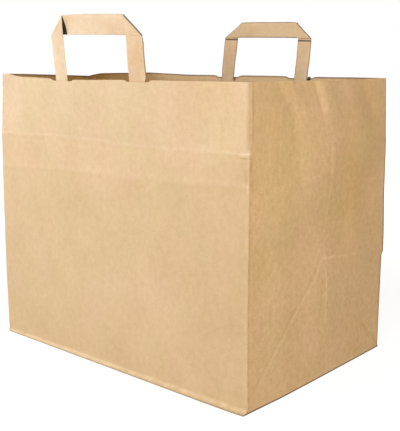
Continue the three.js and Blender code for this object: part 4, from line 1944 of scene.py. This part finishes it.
def body_strokes(body: BagBody) -> tuple[Stroke, ...]:
    """The pressed and worn lines of the folded sheet, with their painted highlights and shade,
    on one panel and the gusset at its right.

    Args:
        body: The body whose sizes place them.

    Returns:
        The strokes, which the other half repeats.
    """
    half = body.width / 2
    middle = body.half_round / 2
    corner = half + body.depth
    foot, junction, rim = body.foot_rise, body.junction, body.height
    crease = [(x, float(body.crease_height(x))) for x in (-160, -61, 42, 160)]
    slack = [(x, float(body.slack_height(x))) for x in (-160, -14, 160)]
    strokes = []
    # On each crease: a pale line of worn paper and painted highlight on its ridge, and a line of painted
    # shade below it.
    for line, wide, worn, shade_below in ((crease, 2.4, 0.07, -0.05), (slack, 5.0, 0.035, -0.03)):
        for (x0, z0), (x1, z1) in zip(line, line[1:]):
            strokes.append(Stroke((x0, z0 + wide / 2), (x1, z1 + wide / 2), wide, worn, 0.05, 4))
            strokes.append(Stroke((x0, z0 - 2.6), (x1, z1 - 2.6), 4.2, shade_below, -0.03, 4))
    # A faint dent on the panel, then the lines at its sides: pale worn edges with painted highlight, and
    # dark lines of painted shade
    strokes += [
        Stroke((-130, 112), (-74, 114), 1.6, 0.02, 0.03, 18),
        Stroke((-half, foot), (-half, rim), 1.4, -0.4, 0.0, 4),
        Stroke((half - 2.2, foot), (half - 2.2, 186), 2.6, 0.07, 0.0, 6),
        Stroke((half + 1.4, foot), (half + 1.4, body.band_foot), 1.8, -0.2, 0.0, 6),
        Stroke((half - 9, 214.6), (half - 0.5, 215.4), 1.9, 0.2, 0.1, 3),
        Stroke((half - 12, 211.4), (half, 212), 1.4, -0.16, 0.0, 4),
        Stroke((half - 5, 209), (half - 5, 194), 8.0, -0.14, 0.0, 4),
        Stroke((half - 1.3, 190), (half - 1.3, 185), 1.7, 0.34, 0.0, 2),
        Stroke((half + 3.6, 194), (half + 4.2, 184), 1.6, -0.22, 0.0, 3),
        Stroke((half - 9, 188), (half - 8, 184), 1.8, -0.18, 0.0, 2),
    ]
    # The flattened edge of the band and the dark lines beside it, in painted shade
    strokes += [
        Stroke((half + 0.4, rim), (half + 0.4, 219), 5.4, -0.12, 0.0, 4, shade=0.3),
        Stroke((half + 4.2, 262), (half + 4.2, 230), 2.2, 0.0, 0.0, 6, shade=0.24),
        Stroke((half + 2.4, 211), (half + 2.4, 190), 2.6, 0.0, 0.0, 5, shade=0.13),
    ]
    # The folds of the gusset, from the rim down to the junction of the bottom's creases, as pale and
    # dark lines of wear, painted highlight and painted shade
    strokes += [
        Stroke((middle - 20, rim), (middle - 17, 262), 1.3, -0.22, -0.1, 3),
        Stroke((middle - 17, 262), (middle - 13, 245), 1.3, -0.22, -0.1, 3),
        Stroke((middle - 13, 245), (middle - 7, 222), 1.3, -0.24, -0.1, 3),
        Stroke((middle - 14, rim), (middle - 8, 246), 5.0, 0.13, 0.0, 6),
        Stroke((middle - 4, 218), (middle - 4, 172), 1.3, -0.16, -0.05, 10),
        Stroke((middle + 1, 222), (middle + 2, 150), 1.7, 0.14, 0.1, 12),
        Stroke((middle + 7, 214), (middle + 7, 182), 1.6, -0.14, -0.04, 8),
        Stroke((middle - 7, 212), (middle + 4, 216), 1.3, -0.1, -0.05, 3),
        Stroke((middle - 7, 217), (middle + 3, 212), 1.3, 0.08, 0.05, 3),
        Stroke((middle + 1, 150), (middle, junction), 1.9, 0.08, 0.1, 14),
        Stroke((middle - 66, 268), (middle - 46, 236), 2.6, 0.06, 0.0, 8),
        Stroke((middle - 42, 236), (middle - 40, 185), 2.8, 0.05, 0.0, 10),
    ]
    # The bottom's diagonal creases and the lines round their junction, of wear, painted highlight and
    # painted shade
    strokes += [
        Stroke((middle, junction), (half + 22, foot + 22), 2.8, 0.16, 0.2, 16),
        Stroke((middle - 5, junction + 1), (half + 8, foot + 14), 2.8, -0.12, -0.05, 16),
        Stroke((middle, junction), (corner, foot), 1.7, 0.04, 0.06, 24),
        Stroke((middle, junction), (middle + 67, 107), 2.2, 0.15, 0.14, 12),
        Stroke((middle + 2, 96), (middle + 5, 50), 2.0, 0.26, 0.2, 12),
        Stroke((middle - 5, 92), (middle - 6, 50), 3.0, -0.16, -0.1, 12),
        Stroke((middle - 14, 112), (middle - 4, 126), 1.8, 0.14, 0.1, 6),
        Stroke((corner - 34, 34), (corner - 20, 17), 1.8, -0.2, -0.12, 4, shade=0.1),
        Stroke((corner - 18, 22), (corner - 5, 7), 1.8, -0.2, -0.12, 4, shade=0.16),
        Stroke((corner - 24, 30), (corner - 10, 13), 1.8, 0.26, 0.12, 4),
        Stroke((middle, junction), (middle + 14, junction - 1), 3.0, 0.16, 0.1, 5),
    ]
    # Painted highlights: a pale line on the cut rim's edge and a pale strip on the bottom lip's upturned
    # face
    strokes += [
        Stroke((-half, rim), (half, rim), 1.1, 0.06, 0.0, 2),
        Stroke((-half, 2.7), (half, 2.7), 1.9, 0.3, 0.0, 2),
    ]
    return tuple(strokes)


# Soft clouds of painted light and shade on one panel and the gusset at its right, where slight bulges of
# the paper face towards or away from the lamps; the other half repeats them.
BODY_LIGHT_AND_SHADE_CLOUDS = (
    Blotch((20, 75), (110, 70), 0.06),
    Blotch((100, 190), (100, 90), -0.05),
    Blotch((-60, 60), (70, 80), 0.03),
    Blotch((-150, 95), (30, 120), -0.03),
    Blotch((156, 95), (36, 140), -0.06),
    Blotch((-95, 245), (75, 40), 0.05),
    Blotch((118, 258), (60, 34), -0.06),
)

# Painted shade: where the sheet is tinted more golden and saturated, as paper looks in dimmer light,
# mostly on the rear half of the gusset.
GOLDEN_SHADE_CLOUDS = (
    Blotch((314, 176), (70, 92), 0.85),
    Blotch((345, 245), (45, 45), 0.6),
    Blotch((190, 240), (45, 45), 0.3),
    Blotch((345, 30), (60, 50), 0.35),
)


def body_shade_spots(body: BagBody) -> tuple[Blotch, ...]:
    """The spots of painted shade that only one half has.

    Args:
        body: The body whose sizes place them.

    Returns:
        A black dot of painted shade on the rim's nib, a painted shadow beside a leg of the rear strap
        and the dimmer inside of the left gusset, all inside, and a dark line of painted shade on the far
        rear corner.
    """
    rear_inside = (INSIDE_TURNS + 1) * body.half_round
    return (
        Blotch((rear_inside + body.nib, 269.4), (2.7, 3.8), -9.0),
        Blotch((rear_inside + 38.9, 267.0), (1.7, 7.0), -1.4),
        Blotch((rear_inside + 268.5, 262.0), (150.0, 50.0), -0.5),
        Blotch((body.width / 2 + body.depth - 0.8, 105.0), (2.4, 190.0), -0.9),
    )


def body_finish(body: BagBody) -> KraftPaper:
    """The finish of the folded sheet.

    Args:
        body: The body whose sizes place the creases.

    Returns:
        The paper with its creases, its clouds of painted light and shade, and its spots of painted
        shade.
    """
    return KraftPaper(
        "bag_kraft",
        linear(202.5, 180.5, 138.5),
        strokes=body_strokes(body),
        light_and_shade_clouds=BODY_LIGHT_AND_SHADE_CLOUDS,
        shade_spots=body_shade_spots(body),
        golden_shade_clouds=GOLDEN_SHADE_CLOUDS,
        half_round=body.half_round,
        panel_width=body.width,
    )


# How each strap is bent out of its plain shape, which of its lines of painted shade show, and its tone,
# which differs only as painted light.
STRAP_BENDS: dict[Side, dict[str, Any]] = {
    Side.FRONT: {
        "lean": 6.2,
        "sag": (3.1, 4.8),
        "twist": (4.0, 12.0),
        "opening": (2.2, 0.0),
        "pull": (0.8, 1.2),
        "shift": -1.3,
        # Reach of the painted shade in the open left fold, not a bend.
        "gap": 3.2,
    },
    Side.REAR: {
        "width": 16.8,
        "sag": (2.8, 1.2),
        "twist": (0.0, 6.0),
        "opening": (0.8, 0.8),
        "pull": (3.0, 3.4),
        "shift": -0.9,
    },
}
STRAP_LINES: dict[Side, dict[str, Any]] = {
    Side.FRONT: {"edges": 0.85, "folds": 0.9, "whole": False},
    Side.REAR: {"edges": 0.85, "folds": 0.9, "whole": True, "crevice": 0.8, "below": (1.3, 0.6)},
}
# Painted light: the two straps are of one paper, and their tones differ to match how each is lit.
STRAP_LIT_TONES = {Side.FRONT: linear(221, 202, 171), Side.REAR: linear(223, 198, 159)}
STRAP_CLOUDING = 0.12
STRAP_SEEDS = {Side.FRONT: 4, Side.REAR: 2}
PATCH_TONE = linear(207, 175, 130)
PATCH_SEEDS = {Side.FRONT: 7, Side.REAR: 5}

WARM_LIGHT = (0.96, 0.755, 0.544)
WIDE_LAMP = (900, 900)
KEY_LAMP = (500, 500)
SOFTBOXES = (
    Softbox("key_left", (-650, -600, 330), (-40, -100, 170), KEY_LAMP, 4.3, (1.03, 0.975, 0.935)),
    Softbox("key_front", (350, -900, 800), (60, -60, 160), KEY_LAMP, 5.3, (0.91, 0.945, 1.03)),
    Softbox("fill_right", (1000, -800, 450), (120, 0, 140), WIDE_LAMP, 7.5, WARM_LIGHT),
    Softbox("rear_fill", (-300, 1150, 650), (0, 100, 150), WIDE_LAMP, 5.0, (1.0, 0.9, 0.8)),
    Softbox("fill_side", (1300, -150, 550), (120, 0, 140), WIDE_LAMP, 5.05, WARM_LIGHT),
)


def dress(piece: bpy.types.Object, material: bpy.types.Material, node: str, slot: Slot) -> None:
    """Give a piece its finish and its place in the frame.

    Args:
        piece: The piece to dress.
        material: Its finish.
        node: The frame's node that it stands for.
        slot: The record's slot of its material; not used.
    """
    piece.data.materials.append(material)
    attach(piece, "root")
    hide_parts(node)
    log.info("%s stands for %s", piece.name, node)


def main() -> None:
    """Build the bag, its finishes and the studio."""
    logging.basicConfig(level=logging.INFO, format="%(name)s: %(message)s")
    body = BagBody()
    dress(body.build(), body_finish(body).material(), "bag_body", Slot.BAG)
    patch_paper = KraftPaper("patch_kraft", PATCH_TONE).material()
    for side in Side:
        word = side.name.lower()
        band = BandFrame(body.mouth_lean, body.depth, body.band_foot, side)
        strap = StrapHandle(f"{word}_strap", band, seed=STRAP_SEEDS[side], **STRAP_BENDS[side])
        lines = StrapLines(strap.width, strap.leg, strap.length, **STRAP_LINES[side])
        finish = KraftPaper(
            f"{word}_strap_kraft", STRAP_LIT_TONES[side], strap=lines, clouding=STRAP_CLOUDING
        )
        dress(strap.build(), finish.material(), f"{word}_handle", Slot.STRAP)
        patch = HandlePatch(f"{word}_patch", band, seed=PATCH_SEEDS[side])
        dress(patch.build(), patch_paper, f"{word}_handle_patch", Slot.PATCH)
    Studio(softboxes=SOFTBOXES).build()
    Viewpoint().build()


if __name__ == "__main__":
    main()
